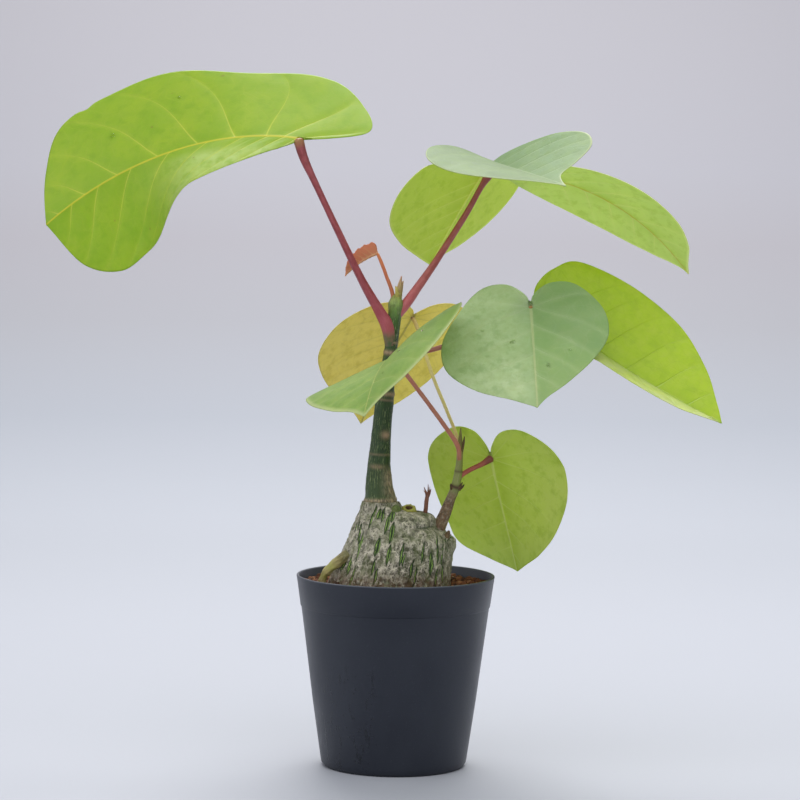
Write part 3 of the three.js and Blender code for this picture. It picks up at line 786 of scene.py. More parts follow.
class Outline(Enum):
    """Half outlines from stalk to tip: along over length, across over half the width."""

    HEART = ((0, 0), (-0.08, 0.07), (-0.19, 0.3), (-0.19, 0.62), (-0.02, 0.92),
             (0.28, 1), (0.58, 0.84), (0.8, 0.52), (0.91, 0.2), (1, 0))
    LOBED = ((0, 0), (-0.12, 0.04), (-0.25, 0.2), (-0.27, 0.5), (-0.1, 0.88),
             (0.25, 1.03), (0.58, 0.92), (0.8, 0.66), (0.93, 0.28), (1, 0))
    EARLY = ((0, 0), (-0.1, 0.05), (-0.2, 0.28), (-0.2, 0.62), (-0.03, 0.95),
             (0.24, 1), (0.5, 0.78), (0.75, 0.42), (0.9, 0.14), (1, 0))
    LATE = ((0, 0), (-0.1, 0.05), (-0.2, 0.26), (-0.18, 0.55), (0, 0.82),
            (0.3, 1), (0.6, 0.96), (0.82, 0.66), (0.93, 0.26), (1, 0))
    OVAL = ((0, 0), (0.04, 0.22), (0.14, 0.56), (0.32, 0.88), (0.53, 1),
            (0.73, 0.87), (0.86, 0.54), (0.92, 0.24), (0.96, 0.08), (1, 0))
    BLUNT = ((0, 0), (0.04, 0.2), (0.16, 0.5), (0.33, 0.84), (0.52, 1),
             (0.67, 0.86), (0.75, 0.5), (0.79, 0.2), (0.88, 0.08), (1, 0))
    OBLIQUE = ((0, 0), (0.02, 0.08), (0.08, 0.18), (0.2, 0.33), (0.36, 0.48),
               (0.54, 0.62), (0.7, 0.71), (0.86, 0.73), (0.98, 0.49), (1, 0))
    BROAD = ((0, 0), (-0.1, 0.07), (-0.225, 0.27), (-0.175, 0.6), (-0.02, 0.93),
             (0.28, 1), (0.58, 1.09), (0.79, 0.94), (0.91, 0.5), (1, 0))
    OVATE = ((0, 0), (-0.1, 0.05), (-0.2, 0.24), (-0.17, 0.52), (0.02, 0.83),
             (0.28, 1), (0.57, 0.92), (0.79, 0.59), (0.93, 0.22), (1, 0))


# How much wider a full half is at these points of its outline
FULLNESS = {6: 0.1, 7: 0.25, 8: 0.18}


@dataclass(frozen=True)
class Half:
    """One half of a blade: how it rises from the midrib and how its outline differs."""

    rise: Span = (0.0, 0.0)
    curl: float = 0.01
    wide: float = 1.0
    full: float = 0.0
    lobe: float = 1.0
    turn: Span | None = None
    outline: Outline | None = None
    wave: Row = (0.0, 0.0, 0.0)
    nicks: tuple[Row, ...] = ()


@dataclass
class Blade:
    """A leaf blade: the same surface as its solid, with a finer edge, veins and a thin margin."""

    name: str
    base: Row
    length: float
    width: float
    heading: float
    climb: float
    droop: float
    left: Half
    right: Half
    finish: LeafFinish
    outline: Outline = Outline.HEART
    late: float = 1.0
    swing: float = 0.0
    ribs: tuple[float, ...] = (0.12, 0.3, 0.48, 0.66, 0.82)
    fan: tuple[float, ...] = (0.2, 0.36, 0.48)
    stagger: float = 0.03
    rows: int = 110
    thickness: float = 0.46
    bow: float = 0.1
    sweep: float = 0.6
    spine_steps: int = 24
    quilt: float = 0.22
    quilt_width: float = 3.0
    calm_rib: Span = (0.5, 5.0)
    calm_margin: Span = (0.0, 4.0)
    ridge: float = 0.75
    ridge_width: float = 0.9
    under_vein: Span = (0.55, 0.16)
    upper_vein: Span = (0.5, 0.08)
    vein_slant: float = 0.8
    half_blend: float = 4.0
    thin_from: float = 0.8
    thin_edge: float = 0.5
    fan_end: float = 0.56
    first_rib: float = 0.015
    columns: tuple[float, ...] = (
        0.0, 0.012, 0.028, 0.05, 0.085, 0.13, 0.18, 0.235, 0.29, 0.345, 0.4, 0.455, 0.51, 0.565,
        0.62, 0.675, 0.73, 0.785, 0.84, 0.89, 0.93, 0.965, 0.985, 1.0)
    spine: list[Vector] = field(default_factory=list, init=False)

    def turn_at(self, share: float) -> Span:
        """The midrib's slope and heading at a share of its length."""
        return (math.radians(self.climb - self.droop * share ** self.late),
                math.radians(self.heading + self.swing * share))

    def forward(self, share: float) -> Vector:
        """The midrib's direction at a share of its length."""
        slope, turn = self.turn_at(share)
        return Vector((math.cos(slope) * math.cos(turn), math.cos(slope) * math.sin(turn),
                       math.sin(slope)))

    def lay_spine(self) -> None:
        """Works out the points along the midrib."""
        n = self.spine_steps
        self.spine = [Vector(self.base)]
        for i in range(n):
            step = self.forward(i / n) + self.forward((i + 1) / n)
            self.spine.append(self.spine[-1] + step * (self.length / n / 2))

    def edge(self, half: Half, t: float) -> Span:
        """A half's outline, along and across in millimetres, at t from stalk to tip.

        Args:
            half: The half.
            t: The place from stalk to tip.

        Returns:
            Millimetres along the midrib and out from it.
        """
        points = tuple(
            ((along * half.lobe if along < 0 else along) * self.length,
             (across + FULLNESS.get(i, 0) * half.full) * half.wide * self.width / 2)
            for i, (along, across) in enumerate((half.outline or self.outline).value))
        along, across = through(points, t)
        for at, span, depth in half.nicks:
            across -= depth * hump(t - at, span)
        return along, max(across, 0.0)

    def start(self, t: float) -> float:
        """Where the rib at t leaves the midrib, in millimetres from the stalk.

        Args:
            t: The place from stalk to tip.

        Returns:
            Millimetres from the stalk.
        """
        total = 0.0
        for half in (self.left, self.right):
            along, across = self.edge(half, t)
            total += clamp(along - self.sweep * across, 0, self.length) / 2
        return total

    def place(self, u: float, v: float, left: bool) -> Vector:
        """Puts a flat point of the blade in space.

        Args:
            u: Millimetres along the midrib.
            v: Millimetres out from the midrib.
            left: Whether it is on the left half.

        Returns:
            The point on the blade's middle surface.
        """
        share = clamp(u / self.length)
        slope, turn = self.turn_at(share)
        spot = share * self.spine_steps
        i = min(int(spot), self.spine_steps - 1)
        point = self.spine[i].lerp(self.spine[i + 1], spot - i) + self.forward(share) * min(u, 0)
        half = self.left if left else self.right
        change = smooth(share, *half.turn) if half.turn else share
        rise = math.radians(lerp(*half.rise, change))
        bend = math.radians(half.curl or 0.01) / (self.width / 2)
        across = (math.sin(rise + bend * v) - math.sin(rise)) / bend
        lift = (math.cos(rise) - math.cos(rise + bend * v)) / bend
        height, waves, phase = half.wave
        ripple = math.sin(TAU * waves * u / self.length + phase)
        lift += height * (v / (self.width / 2)) ** 2 * ripple
        level = Vector((-math.sin(turn), math.cos(turn), 0))
        raised = Vector((-math.sin(slope) * math.cos(turn), -math.sin(slope) * math.sin(turn),
                         math.cos(slope)))
        return point + level * (across if left else -across) + raised * lift

    def station(self, share: float) -> float:
        """The t whose rib leaves the midrib at a share of its length.

        Args:
            share: The share of the midrib's length.

        Returns:
            The t, from 0 to 1.
        """
        low, high = 0.0, 1.0
        for _ in range(30):
            mid = (low + high) / 2
            if self.start(mid) < share * self.length:
                low = mid
            else:
                high = mid
        return low

    def build(self, slot: str) -> bpy.types.Object:
        """Makes the blade as a thin closed sheet that carries its veins.

        Args:
            slot: The solid that it stands for.

        Returns:
            The finished piece.
        """
        self.lay_spine()
        veins = self.veins()
        stations = self.stations(veins)
        places = [-c for c in reversed(self.columns[1:])] + list(self.columns)
        net = Net(len(stations), len(places), (
            "vein_mm", "rib_mm", "edge_mm", "under", "ridge", "thin", "along", "half"))
        for t, line in zip(stations, net.rows):
            begin = self.start(t)
            for c, vert in zip(places, line):
                left = c >= 0
                half = self.left if left else self.right
                out = abs(c)
                along, across = self.edge(half, t)
                u = lerp(begin, along, out) - self.bow * across * 4 * out * (1 - out) * out
                v = across * out
                vert.co = self.place(u, v, left)
                away = min(abs(m - t) for m in veins[left])
                share = clamp(u / self.length)
                net.keep(vert, vein_mm=away * self.spread(half, t, out) + 0.4 * out,
                         rib_mm=v * (1 + 0.9 * share) if u > 0 else math.hypot(u, v),
                         edge_mm=across * (1 - out), along=share,
                         half=smooth(v if left else -v, -self.half_blend, self.half_blend),
                         ridge=self.ridge * hump(v, self.ridge_width) * (1 - 0.7 * t) * (t > 0),
                         thin=lerp(1.0, self.thin_edge, smooth(out, self.thin_from, 1.0)))
                net.uv[vert] = (u / CM_IN_MM, (v if left else -v) / CM_IN_MM)
        net.join()
        bm = net.bm
        upper = list(bm.verts)
        normals = {vert: vert.normal.copy() for vert in upper}
        copied = bmesh.ops.extrude_face_region(bm, geom=bm.faces[:], use_keep_orig=True)
        lower = [item for item in copied["geom"] if isinstance(item, bmesh.types.BMVert)]
        at = {tuple(vert.co): vert for vert in upper}
        for vert in lower:
            normal = normals[at[tuple(vert.co)]]
            net.keep(vert, under=1.0)
            thin = net.read(vert, "thin")
            width, height = self.under_vein
            vein = hump(net.read(vert, "vein_mm"), width) * height * thin
            reach = self.thickness / 2 * thin + vein + net.read(vert, "ridge")
            vert.co = vert.co - normal * (reach - self.puff(net, vert))
        for vert in upper:
            width, height = self.upper_vein
            dip = hump(net.read(vert, "vein_mm"), width) * height
            reach = self.thickness / 2 * net.read(vert, "thin") - dip
            vert.co = vert.co + normals[vert] * (reach + self.puff(net, vert))
        return finished(bm, f"{self.name}_blade", self.finish.material(), (slot,))

    def veins(self) -> dict[bool, list[float]]:
        """The t of each vein on the left half, which is True, and on the right one.

        Returns:
            The sorted places of each half's veins.
        """
        scale = self.station(self.first_rib) / self.fan_end
        evenly = [scale * f for f in self.fan] + [self.station(share) for share in self.ribs]
        return {True: sorted(evenly), False: sorted(t + self.stagger * t for t in evenly)}

    def stations(self, veins: dict[bool, list[float]]) -> list[float]:
        """The t of each row of points: evenly spread, with one row on each vein.

        Args:
            veins: The places of each half's veins.

        Returns:
            The sorted places of all rows.
        """
        marks = sorted({round(t, 4) for side in veins.values() for t in side if t < 0.99})
        even = [i / self.rows for i in range(self.rows + 1)]
        near = 0.3 / self.rows
        kept = [t for t in even if all(abs(t - m) > near for m in marks)]
        return sorted({*kept, *marks, 0.0, 1.0})

    def spread(self, half: Half, t: float, out: float) -> float:
        """How many millimetres apart two ribs lie, for each 1 of t, at a share of their length.

        Args:
            half: The half that they are on.
            t: Their place.
            out: The share of their length.

        Returns:
            The distance.
        """
        pace = 0.5 / self.rows
        low, high = clamp(t - pace), clamp(t + pace)
        a, b = self.edge(half, low), self.edge(half, high)
        inner = abs(self.start(high) - self.start(low))
        return self.vein_slant * lerp(inner, math.dist(a, b), out) / (2 * pace)

    def puff(self, net: Net, vert: bmesh.types.BMVert) -> float:
        """How far the blade swells up between two veins at a point.

        Args:
            net: The blade's grid.
            vert: The point.

        Returns:
            Millimetres, below 0 near a vein.
        """
        away = 1 - hump(net.read(vert, "vein_mm"), self.quilt_width)
        rib = smooth(net.read(vert, "rib_mm"), *self.calm_rib)
        margin = smooth(net.read(vert, "edge_mm"), *self.calm_margin)
        return self.quilt * (away - 0.5) * rib * margin

    def spot(self, u: float, v: float, left: bool) -> tuple[Vector, Vector]:
        """A point of the blade's upper face and the way that it looks there.

        Args:
            u: Millimetres along the midrib.
            v: Millimetres out from the midrib.
            left: Whether it is on the left half.

        Returns:
            The point and the direction that stands straight out of it.
        """
        step = 0.3
        point = self.place(u, v, left)
        forward = self.place(u + step, v, left) - point
        side = (self.place(u, v + step, left) - point) * (1 if left else -1)
        normal = forward.cross(side).normalized()
        return point + normal * self.thickness / 2, normal


# Stems and stalks


@dataclass(frozen=True)
class Mark:
    """A scar, a ring or a patch of bark on a stem."""

    height: float
    high: float = 1.2
    toward: float = 90.0
    wide: float = 0.0
    raised: float = 0.3
    layer: str = "scar"
    share: float = 1.0

    def strength(self, z: float, angle: float) -> float:
        """How strongly the mark shows at a height and an angle round the stem.

        Args:
            z: The height.
            angle: The angle round the stem.

        Returns:
            From 0 to the mark's own share.
        """
        there = hump(z - self.height, self.high)
        if self.wide:
            away = (math.degrees(angle) - self.toward + 180) % 360 - 180
            there *= hump(away, self.wide)
        return there * self.share


@dataclass
class Stalk:
    """A round stem, stalk or scale along the middle line of its solid."""

    name: str
    points: tuple[Row, ...]
    finish: StalkFinish | PlainFinish
    marks: tuple[Mark, ...] = ()
    sides: int = 28
    steps: int = 90
    uneven: float = 0.05
    grooves: float = 0.02
    flat: float = 1.0
    blunt: float = 0.5
    cap: int = 5

    def frame_at(self, t: float) -> tuple[Vector, Vector, Vector, Vector, float]:
        """The middle line's point, direction and two side directions, and the radius.

        Args:
            t: The place from foot to tip.

        Returns:
            The point, the three directions and the radius.
        """
        x, y, z, radius = through(self.points, t)
        near = 1e-3
        ahead = Vector(through(self.points, min(1.0, t + near))[:3])
        behind = Vector(through(self.points, max(0.0, t - near))[:3])
        along = (ahead - behind).normalized()
        side = Vector((0, 1, 0)).cross(along).normalized()
        return Vector((x, y, z)), along, side, side.cross(along), radius

    def rings(self) -> list[Row]:
        """Each ring: its place on the line, its share of the radius, its reach past the end.

        Returns:
            The rings from foot to tip.
        """
        turns = [math.pi / 2 * k / self.cap for k in range(self.cap)]
        start = [(0.0, math.sin(a), -math.cos(a)) for a in turns]
        body = [(k / self.steps, 1.0, 0.0) for k in range(self.steps + 1)]
        end = [(1.0, math.sin(a), math.cos(a)) for a in reversed(turns)]
        return start + body + end

    def build(self, slot: str, replaces: tuple[str, ...] = ()) -> bpy.types.Object:
        """Makes the stem as a closed tube with its scars raised.

        Args:
            slot: Not used.
            replaces: The solids that it stands for.

        Returns:
            The finished piece.
        """
        rings = self.rings()
        net = Net(len(rings), self.sides + 1, ("along", "scar", "bark"))
        seam = -math.pi / 2
        length = 0.0
        before = None
        wide = max(point[3] for point in self.points)
        for (t, share, past), line in zip(rings, net.rows):
            centre, along, side, other, radius = self.frame_at(t)
            centre = centre + along * past * radius * self.blunt
            length += (centre - before).length if before else 0.0
            before = centre
            for j, vert in enumerate(line):
                angle = seam + TAU * j / self.sides
                c, s = math.cos(angle), math.sin(angle)
                wave = grain(c * 0.8 + centre.x * 0.2, s * 0.8, length * 0.22)
                thread = grain(c * 4, s * 4, length * 0.06, 2)
                out = radius * share * (1 + self.uneven * wave + self.grooves * thread)
                for mark in self.marks:
                    strength = mark.strength(centre.z, angle)
                    out += mark.raised * strength * share
                    net.keep(vert, **{mark.layer: max(net.read(vert, mark.layer), strength)})
                vert.co = centre + side * c * out + other * s * out * self.flat
                net.keep(vert, along=t)
                net.uv[vert] = (wide * TAU * j / self.sides / CM_IN_MM, length / CM_IN_MM)
        net.join()
        return finished(net.bm, self.name, self.finish.material(), replaces)


def tuft(name: str, slot: str, paths: tuple[tuple[Row, ...], ...],
         finishes: tuple[StalkFinish | PlainFinish, ...], replaces: tuple[str, ...] = (),
         **shape: float) -> None:
    """Makes a group of small stalks that share a name.

    Args:
        name: The name that each one's number follows.
        slot: The name handed on to each stalk's build.
        paths: Their middle lines.
        finishes: Their finishes, used in turn.
        replaces: The solids that the first one stands for.
        shape: The sizes in which they differ from other stalks.
    """
    for k, points in enumerate(paths):
        Stalk(f"{name}_{k + 1}", points, finishes[k % len(finishes)], **shape).build(
            slot, () if k else replaces)


# The swollen base


@dataclass
class Caudex:
    """The swollen stem base: ridges, and green fissures between plates of pale skin."""

    levels: tuple[Row, ...]
    bark: BarkFinish = field(default_factory=BarkFinish)
    ridge: float = 0.9
    sides: int = 540
    rows: int = 172
    lowest: float = 0.22
    closing: float = 0.94
    lean: float = 0.2
    lean_change: float = -0.006
    splits: int = 110
    seed: int = 11
    split_ring: float = 25.0
    split_height: Span = (87.0, 117.0)
    split_reach: Span = (2.2, 5.5)
    split_width: Span = (0.5, 1.5)
    fissure_depth: float = 0.55
    lip_height: float = 0.12
    crust_height: float = 0.42
    pleat_depth: float = 0.9
    crease: Row = (13.0, 109.8, 6.0, 0.8)
    scab: Row = (20.4, 104.4, 3.2, 1.8)
    soil_level: float = 83.0
    streaks: list[Row] = field(default_factory=list, init=False)

    def build(self) -> bpy.types.Object:
        """Makes the swollen base.

        Returns:
            The finished piece.
        """
        self.draw_splits()
        net = Net(self.rows + 1, self.sides + 1, ("fissure", "sap", "crust", "soiled"))
        for i, line in enumerate(net.rows):
            share = i / self.rows
            t = lerp(self.lowest, 1.0, min(1.0, share / self.closing))
            close = 1.0
            if share > self.closing:
                close = math.sin(math.pi / 2 * clamp((1 - share) / (1 - self.closing)))
            z, left, right, depth = through(self.levels, t)
            middle, half = (left + right) / 2, (right - left) / 2
            for j, vert in enumerate(line):
                angle = TAU * j / self.sides
                c, s = math.cos(angle), math.sin(angle)
                ridges = (math.sin(5 * angle + 0.06 * z) + 0.7 * math.sin(9 * angle - 0.05 * z + 1)
                          + 0.6 * math.sin(3 * angle + 0.11 * z + 2))
                out = self.ridge * ridges * math.sin(math.pi * clamp(t, 0.04, 0.9))
                fissure, sap = self.split(angle, z, middle + c * half)
                crust = grain(14 * c, 14 * s, z * 0.42, 5)
                x = middle + c * (half + out)
                pleat = self.near(self.crease, x, z) * (s < 0)
                lips = math.sin(math.pi * fissure) * self.lip_height
                out += (self.crust_height * crust + lips - self.fissure_depth * fissure
                        - self.pleat_depth * pleat)
                vert.co = (middle + c * (half + out) * close, s * (depth + out) * close,
                           z + (1 - close) * 0.4)
                net.keep(vert, fissure=clamp(fissure + pleat * 0.5), sap=sap,
                         crust=clamp(0.5 + crust + 1.2 * self.near(self.scab, x, z)),
                         soiled=1 - smooth(z, self.soil_level, self.soil_level + 10))
        net.join()
        rim = [edge for edge in net.bm.edges if edge.is_boundary]
        bmesh.ops.edgeloop_fill(net.bm, edges=rim)
        return finished(net.bm, "caudex_body", self.bark.material(), ("caudex",))

    def draw_splits(self) -> None:
        """Draws the splits: where each lies, its reach, its width and the side that it is on."""
        draw = random.Random(self.seed)
        for _ in range(self.splits):
            turn = draw.uniform(0, TAU)
            self.streaks.append((
                self.split_ring * math.cos(turn), draw.uniform(*self.split_height),
                draw.uniform(*self.split_reach), draw.uniform(*self.split_width),
                math.copysign(1.0, math.sin(turn))))

    def near(self, patch: Row, x: float, z: float) -> float:
        """How near a place is to the middle of a patch, from 0 to 1."""
        return hump(x - patch[0], patch[2]) * hump(z - patch[1], patch[3])

    def split(self, angle: float, z: float, x: float) -> Span:
        """Reads the splits in the skin at a place on the base.

        Args:
            angle: The place's angle round the base.
            z: Its height.
            x: How far to the right it lies.

        Returns:
            How deep a split is there and how much green sap shows in it, both from 0 to 1.
        """
        deepest = sap = 0.0
        facing = max(0.3, abs(math.sin(angle)))
        for across, height, reach, wide, side in self.streaks:
            rise = (z - height) / reach
            if abs(rise) < 1 and side * math.sin(angle) >= 0:
                slope = self.lean + self.lean_change * across
                wander = 0.35 * grain(height, z * 0.3, across)
                offset = abs(x - across - slope * (z - height) + wander) / facing
                width = wide * (1 - rise * rise)
                deepest = max(deepest, 1 - smooth(offset, 0.45 * width, width + 0.25))
                inner = 0.5 * width if wide > 0.95 else 0.0
                sap = max(sap, hump(offset - inner, 0.2) * (1 - rise * rise))
        return deepest, sap


@dataclass
class Stub:
    """The hollow stub where an old stem was cut off."""

    at: Row
    radius: float
    hollow: float
    depth: float
    height: float
    lean: float
    steps: int = 48
    ragged: float = 0.22
    chipped: float = 0.7
    finish: PlainFinish = PlainFinish("stub_wood", "5a3a22", "a9a94e", "7c6a3a", 0.7)

    def build(self) -> bpy.types.Object:
        """Makes the stub by turning its section.

        Returns:
            The finished piece.
        """
        bm = bmesh.new()
        along = bm.verts.layers.float.new("along")
        outside = [(0.0, -self.height), (self.radius * 1.2, -self.height),
                   (self.radius * 1.04, -1.0), (self.radius, 0.0), (self.radius * 0.88, 0.4)]
        inside = [((self.radius + self.hollow) / 2, 0.5), (self.hollow * 1.15, 0.35),
                  (self.hollow, 0.0), (self.hollow * 0.85, -self.depth * 0.6),
                  (self.hollow * 0.5, -self.depth), (0.0, -self.depth)]
        line = profile(bm, outside + inside)
        for vert in line[3:7]:
            vert[along] = 1.0
        for vert in line[1:3]:
            vert[along] = 0.9
        turn_round(bm, self.steps)
        bmesh.ops.remove_doubles(bm, verts=bm.verts, dist=JOIN)
        for vert in bm.verts:
            angle = math.atan2(vert.co.y, vert.co.x)
            c, s = math.cos(angle), math.sin(angle)
            wide = 1 + self.ragged * grain(c * 2.5, s * 2.5, vert.co.z * 0.5)
            vert.co.x *= wide
            vert.co.y *= wide
            vert.co.z += self.chipped * grain(s * 2, c * 2, 4.0) * vert[along]
        turn = Matrix.Translation(self.at) @ Matrix.Rotation(self.lean, 4, "X")
        bmesh.ops.transform(bm, matrix=turn, verts=bm.verts)
        return finished(bm, "caudex_stub", self.finish.material())


# Pot and soil


@dataclass
class Pot:
    """The nursery pot: a thin tapering wall, a wider rim band and a floor with drain holes."""

    height: float = 87.0
    rim: float = 45.0
    base: float = 33.3
    wall: float = 1.2
    floor: float = 1.6
    chamfer: float = 3.2
    band: float = 14.0
    taper: float = 1.9
    step: float = 0.4
    lip: float = 0.4
    shoulder: float = 3.0
    dish: float = 0.5
    fillet: float = 0.8
    holes: int = 6
    hole_radius: float = 4.0
    hole_ring: float = 21.0
    sides: int = 144
    finish: PotFinish = field(default_factory=PotFinish)

    def outer(self, z: float) -> float:
        """The wall's outer radius below the band."""
        return lerp(self.base, self.rim - self.taper - self.step, z / (self.height - self.band))

    def around(self, z: float) -> float:
        """The rim band's outer radius."""
        return lerp(self.rim - self.taper, self.rim, (z - self.height + self.band) / self.band)

    def inner(self, z: float) -> float:
        """The wall's inner radius.

        Args:
            z: The height.

        Returns:
            The radius.
        """
        foot = self.height - self.band
        if z <= foot:
            return self.outer(z) - self.wall
        return lerp(self.outer(foot), self.around(z), clamp((z - foot) / self.shoulder)) - self.wall

    def section(self) -> list[Span]:
        """The wall's section, from the middle of the underside round to the middle of the floor.

        Returns:
            The radius and height of each point.
        """
        foot, top = self.height - self.band, self.height
        bead = [(self.rim + self.lip * (math.cos(a) - 1), top + self.lip * (math.sin(a) - 1))
                for a in (-0.2, 0.0, 0.5, 1.05, 1.5)]
        inside = self.rim - self.wall
        under = [(0, self.dish), (self.base - 5, self.dish), (self.base - 4.4, 0),
                 (self.base - self.chamfer / 2, 0), (self.base - 0.25, self.chamfer * 0.6),
                 (self.base + 0.05, self.chamfer + 0.4)]
        wall = [(self.outer(30), 30), (self.outer(60), 60), (self.outer(foot), foot - 0.3),
                (self.outer(foot) + 0.1, foot), (self.around(foot) - 0.12, foot),
                (self.around(foot), foot + 0.15), (self.around(top - 4), top - 4)]
        lining = [(inside + self.lip, top), (inside, top - self.lip),
                  (self.inner(foot + self.shoulder), foot + self.shoulder),
                  (self.inner(foot), foot),
                  (self.inner(self.floor + self.fillet), self.floor + self.fillet),
                  (self.inner(self.floor) - self.fillet, self.floor), (0, self.floor)]
        return under + wall + bead + lining

    def build(self) -> bpy.types.Object:
        """Makes the pot by turning its section, then cuts the drain holes.

        Returns:
            The finished piece.
        """
        bm = bmesh.new()
        profile(bm, self.section())
        turn_round(bm, self.sides)
        piece = finished(bm, "pot_body", self.finish.material(), ("pot",))
        drills = bmesh.new()
        for k in range(self.holes):
            angle = TAU * k / self.holes
            spot = Vector((math.cos(angle), math.sin(angle), 0)) * self.hole_ring * MM
            bmesh.ops.create_cone(drills, cap_ends=True, segments=32, radius1=self.hole_radius * MM,
                                  radius2=self.hole_radius * MM, depth=4 * self.floor * MM,
                                  matrix=Matrix.Translation(spot))
        cutter = placed(drills, "drills")
        cut = piece.modifiers.new("drain", "BOOLEAN")
        cut.object = cutter
        cut.operation = "DIFFERENCE"
        cut.solver = "EXACT"
        drilled = piece.evaluated_get(bpy.context.evaluated_depsgraph_get())
        solid = bpy.data.meshes.new_from_object(drilled)
        piece.modifiers.clear()
        piece.data = solid
        bpy.data.objects.remove(cutter)
        return piece


@dataclass
class Soil:
    """The potting mix: an uneven bed with loose grit on it."""

    pot: Pot
    level: float = 82.0
    bottom: float = 2.2
    gap: float = 0.35
    bumps: tuple[Row, ...] = ((0.065, 0.03, 0.5), (0.14, -0.11, 0.35), (0.02, 0.09, 0.4))
    sides: int = 180
    rings: int = 60
    grains: int = 1100
    seed: int = 7
    inmost: float = 0.22
    small: Span = (0.5, 1.0)
    large: Span = (1.0, 1.9)
    small_share: float = 0.75
    pale_share: float = 0.02
    shades: Span = (0.0, 0.86)
    finish: SoilFinish = field(default_factory=SoilFinish)

    def height(self, x: float, y: float) -> float:
        """The bed's height at a place."""
        rise = sum(size * (1 + math.sin(TAU * (across * x + deep * y)))
                   for across, deep, size in self.bumps)
        return self.level + rise / 2 + 0.35 * grain(x * 0.5, y * 0.5)

    def bed(self) -> bpy.types.Object:
        """Makes the bed, which fills the pot.

        Returns:
            The finished piece.
        """
        bm = bmesh.new()
        edge = self.pot.inner(self.level) - 0.1
        foot = self.pot.height - self.pot.band
        tint = bm.verts.layers.float.new("tint")
        walls = [(self.pot.inner(z) - self.gap, z)
                 for z in (self.bottom, foot, foot + self.pot.shoulder)]
        top = [(edge * k / self.rings, self.level) for k in range(self.rings, -1, -1)]
        profile(bm, [(0.0, self.bottom), *walls, *top])
        turn_round(bm, self.sides)
        for vert in bm.verts:
            x, y, z = vert.co
            vert[tint] = 0.3 + 0.3 * grain(x * 0.8, y * 0.8, 3.0)
            if z > self.level - 0.01:
                inward = smooth(edge - math.hypot(x, y), 0.0, 1.5)
                vert.co.z = lerp(self.level, self.height(x, y), inward)
        return finished(bm, "soil_bed", self.finish.material(), ("soil",))

    def grit(self) -> bpy.types.Object:
        """Makes the loose grains as one mesh of uneven pebbles.

        Returns:
            The finished piece.
        """
        draw = random.Random(self.seed)
        bm = bmesh.new()
        tint = bm.verts.layers.float.new("tint")
        edge = self.pot.inner(self.level)
        for _ in range(self.grains):
            angle = draw.uniform(0, TAU)
            reach = edge * math.sqrt(draw.uniform(self.inmost, 1.0))
            size = draw.uniform(*(self.small if draw.random() < self.small_share else self.large))
            reach = min(reach, edge - size - 0.1)
            shade = draw.uniform(*self.shades)
            if draw.random() < self.pale_share:
                shade = 1.0
            x, y = reach * math.cos(angle), reach * math.sin(angle)
            self.pebble(bm, tint, draw, (x, y), size, shade)
        self.pebble(bm, tint, draw, (-35.0, -9.0), 1.3, 1.0)
        return finished(bm, "soil_grit", self.finish.material())

    def pebble(self, bm: bmesh.types.BMesh, tint: bmesh.types.BMLayerItem, draw: random.Random,
               place: Span, size: float, shade: float) -> None:
        """Adds one grain.

        Args:
            bm: The mesh of all grains.
            tint: The layer that keeps each grain's shade.
            draw: The seeded draw.
            place: Where it lies.
            size: Its half size.
            shade: Its place on the grit's colour ramp.
        """
        fineness = 1 if size < 0.9 else 2
        made = bmesh.ops.create_icosphere(bm, subdivisions=fineness, radius=1.0)["verts"]
        squash = Vector([draw.uniform(*span) for span in ((0.8, 1.3), (0.7, 1.1), (0.55, 0.9))])
        turn = (Matrix.Rotation(draw.uniform(0, TAU), 4, "Z")
                @ Matrix.Rotation(draw.uniform(-0.6, 0.6), 4, "X"))
        centre = Vector((*place, self.height(*place) + size * draw.uniform(-0.05, 0.45)))
        for vert in made:
            x, y, z = vert.co
            lump = 1 + 0.28 * grain(x * 1.3 + place[0], y * 1.3 + place[1], z * 1.3)
            vert[tint] = clamp(shade + 0.06 * grain(x * 3, y * 3, place[0]))
            vert.co = centre + turn @ (vert.co * squash * (lump * size))


# Water


@dataclass(frozen=True)
class Drop:
    """A drop of water that sits on a blade."""

    u: float
    v: float
    left: bool
    size: float
    long: float = 1.0


def wet(blade: Blade, drops: tuple[Drop, ...], finish: WaterFinish) -> bpy.types.Object:
    """Makes the drops on a blade.

    Args:
        blade: The blade that they sit on.
        drops: Their places and sizes.
        finish: The water.

    Returns:
        All its drops as one piece.
    """
    bm = bmesh.new()
    for drop in drops:
        point, normal = blade.spot(drop.u, drop.v, drop.left)
        down = (Vector((0, 0, -1)) - normal * -normal.z).normalized()
        across = normal.cross(down)
        turn = Matrix((across, down, normal)).transposed().to_4x4()
        made = bmesh.ops.create_uvsphere(bm, u_segments=28, v_segments=16, radius=1.0)["verts"]
        for vert in made:
            x, y, z = vert.co
            flat = z * 0.36 if z > 0 else z * 0.06
            sag = 1 + 0.12 * y
            local = Vector((x * sag, y * drop.long, flat * (1 + 0.15 * y))) * drop.size
            vert.co = point + turn @ local
    return finished(bm, f"{blade.name}_drops", finish.material())


# The plant


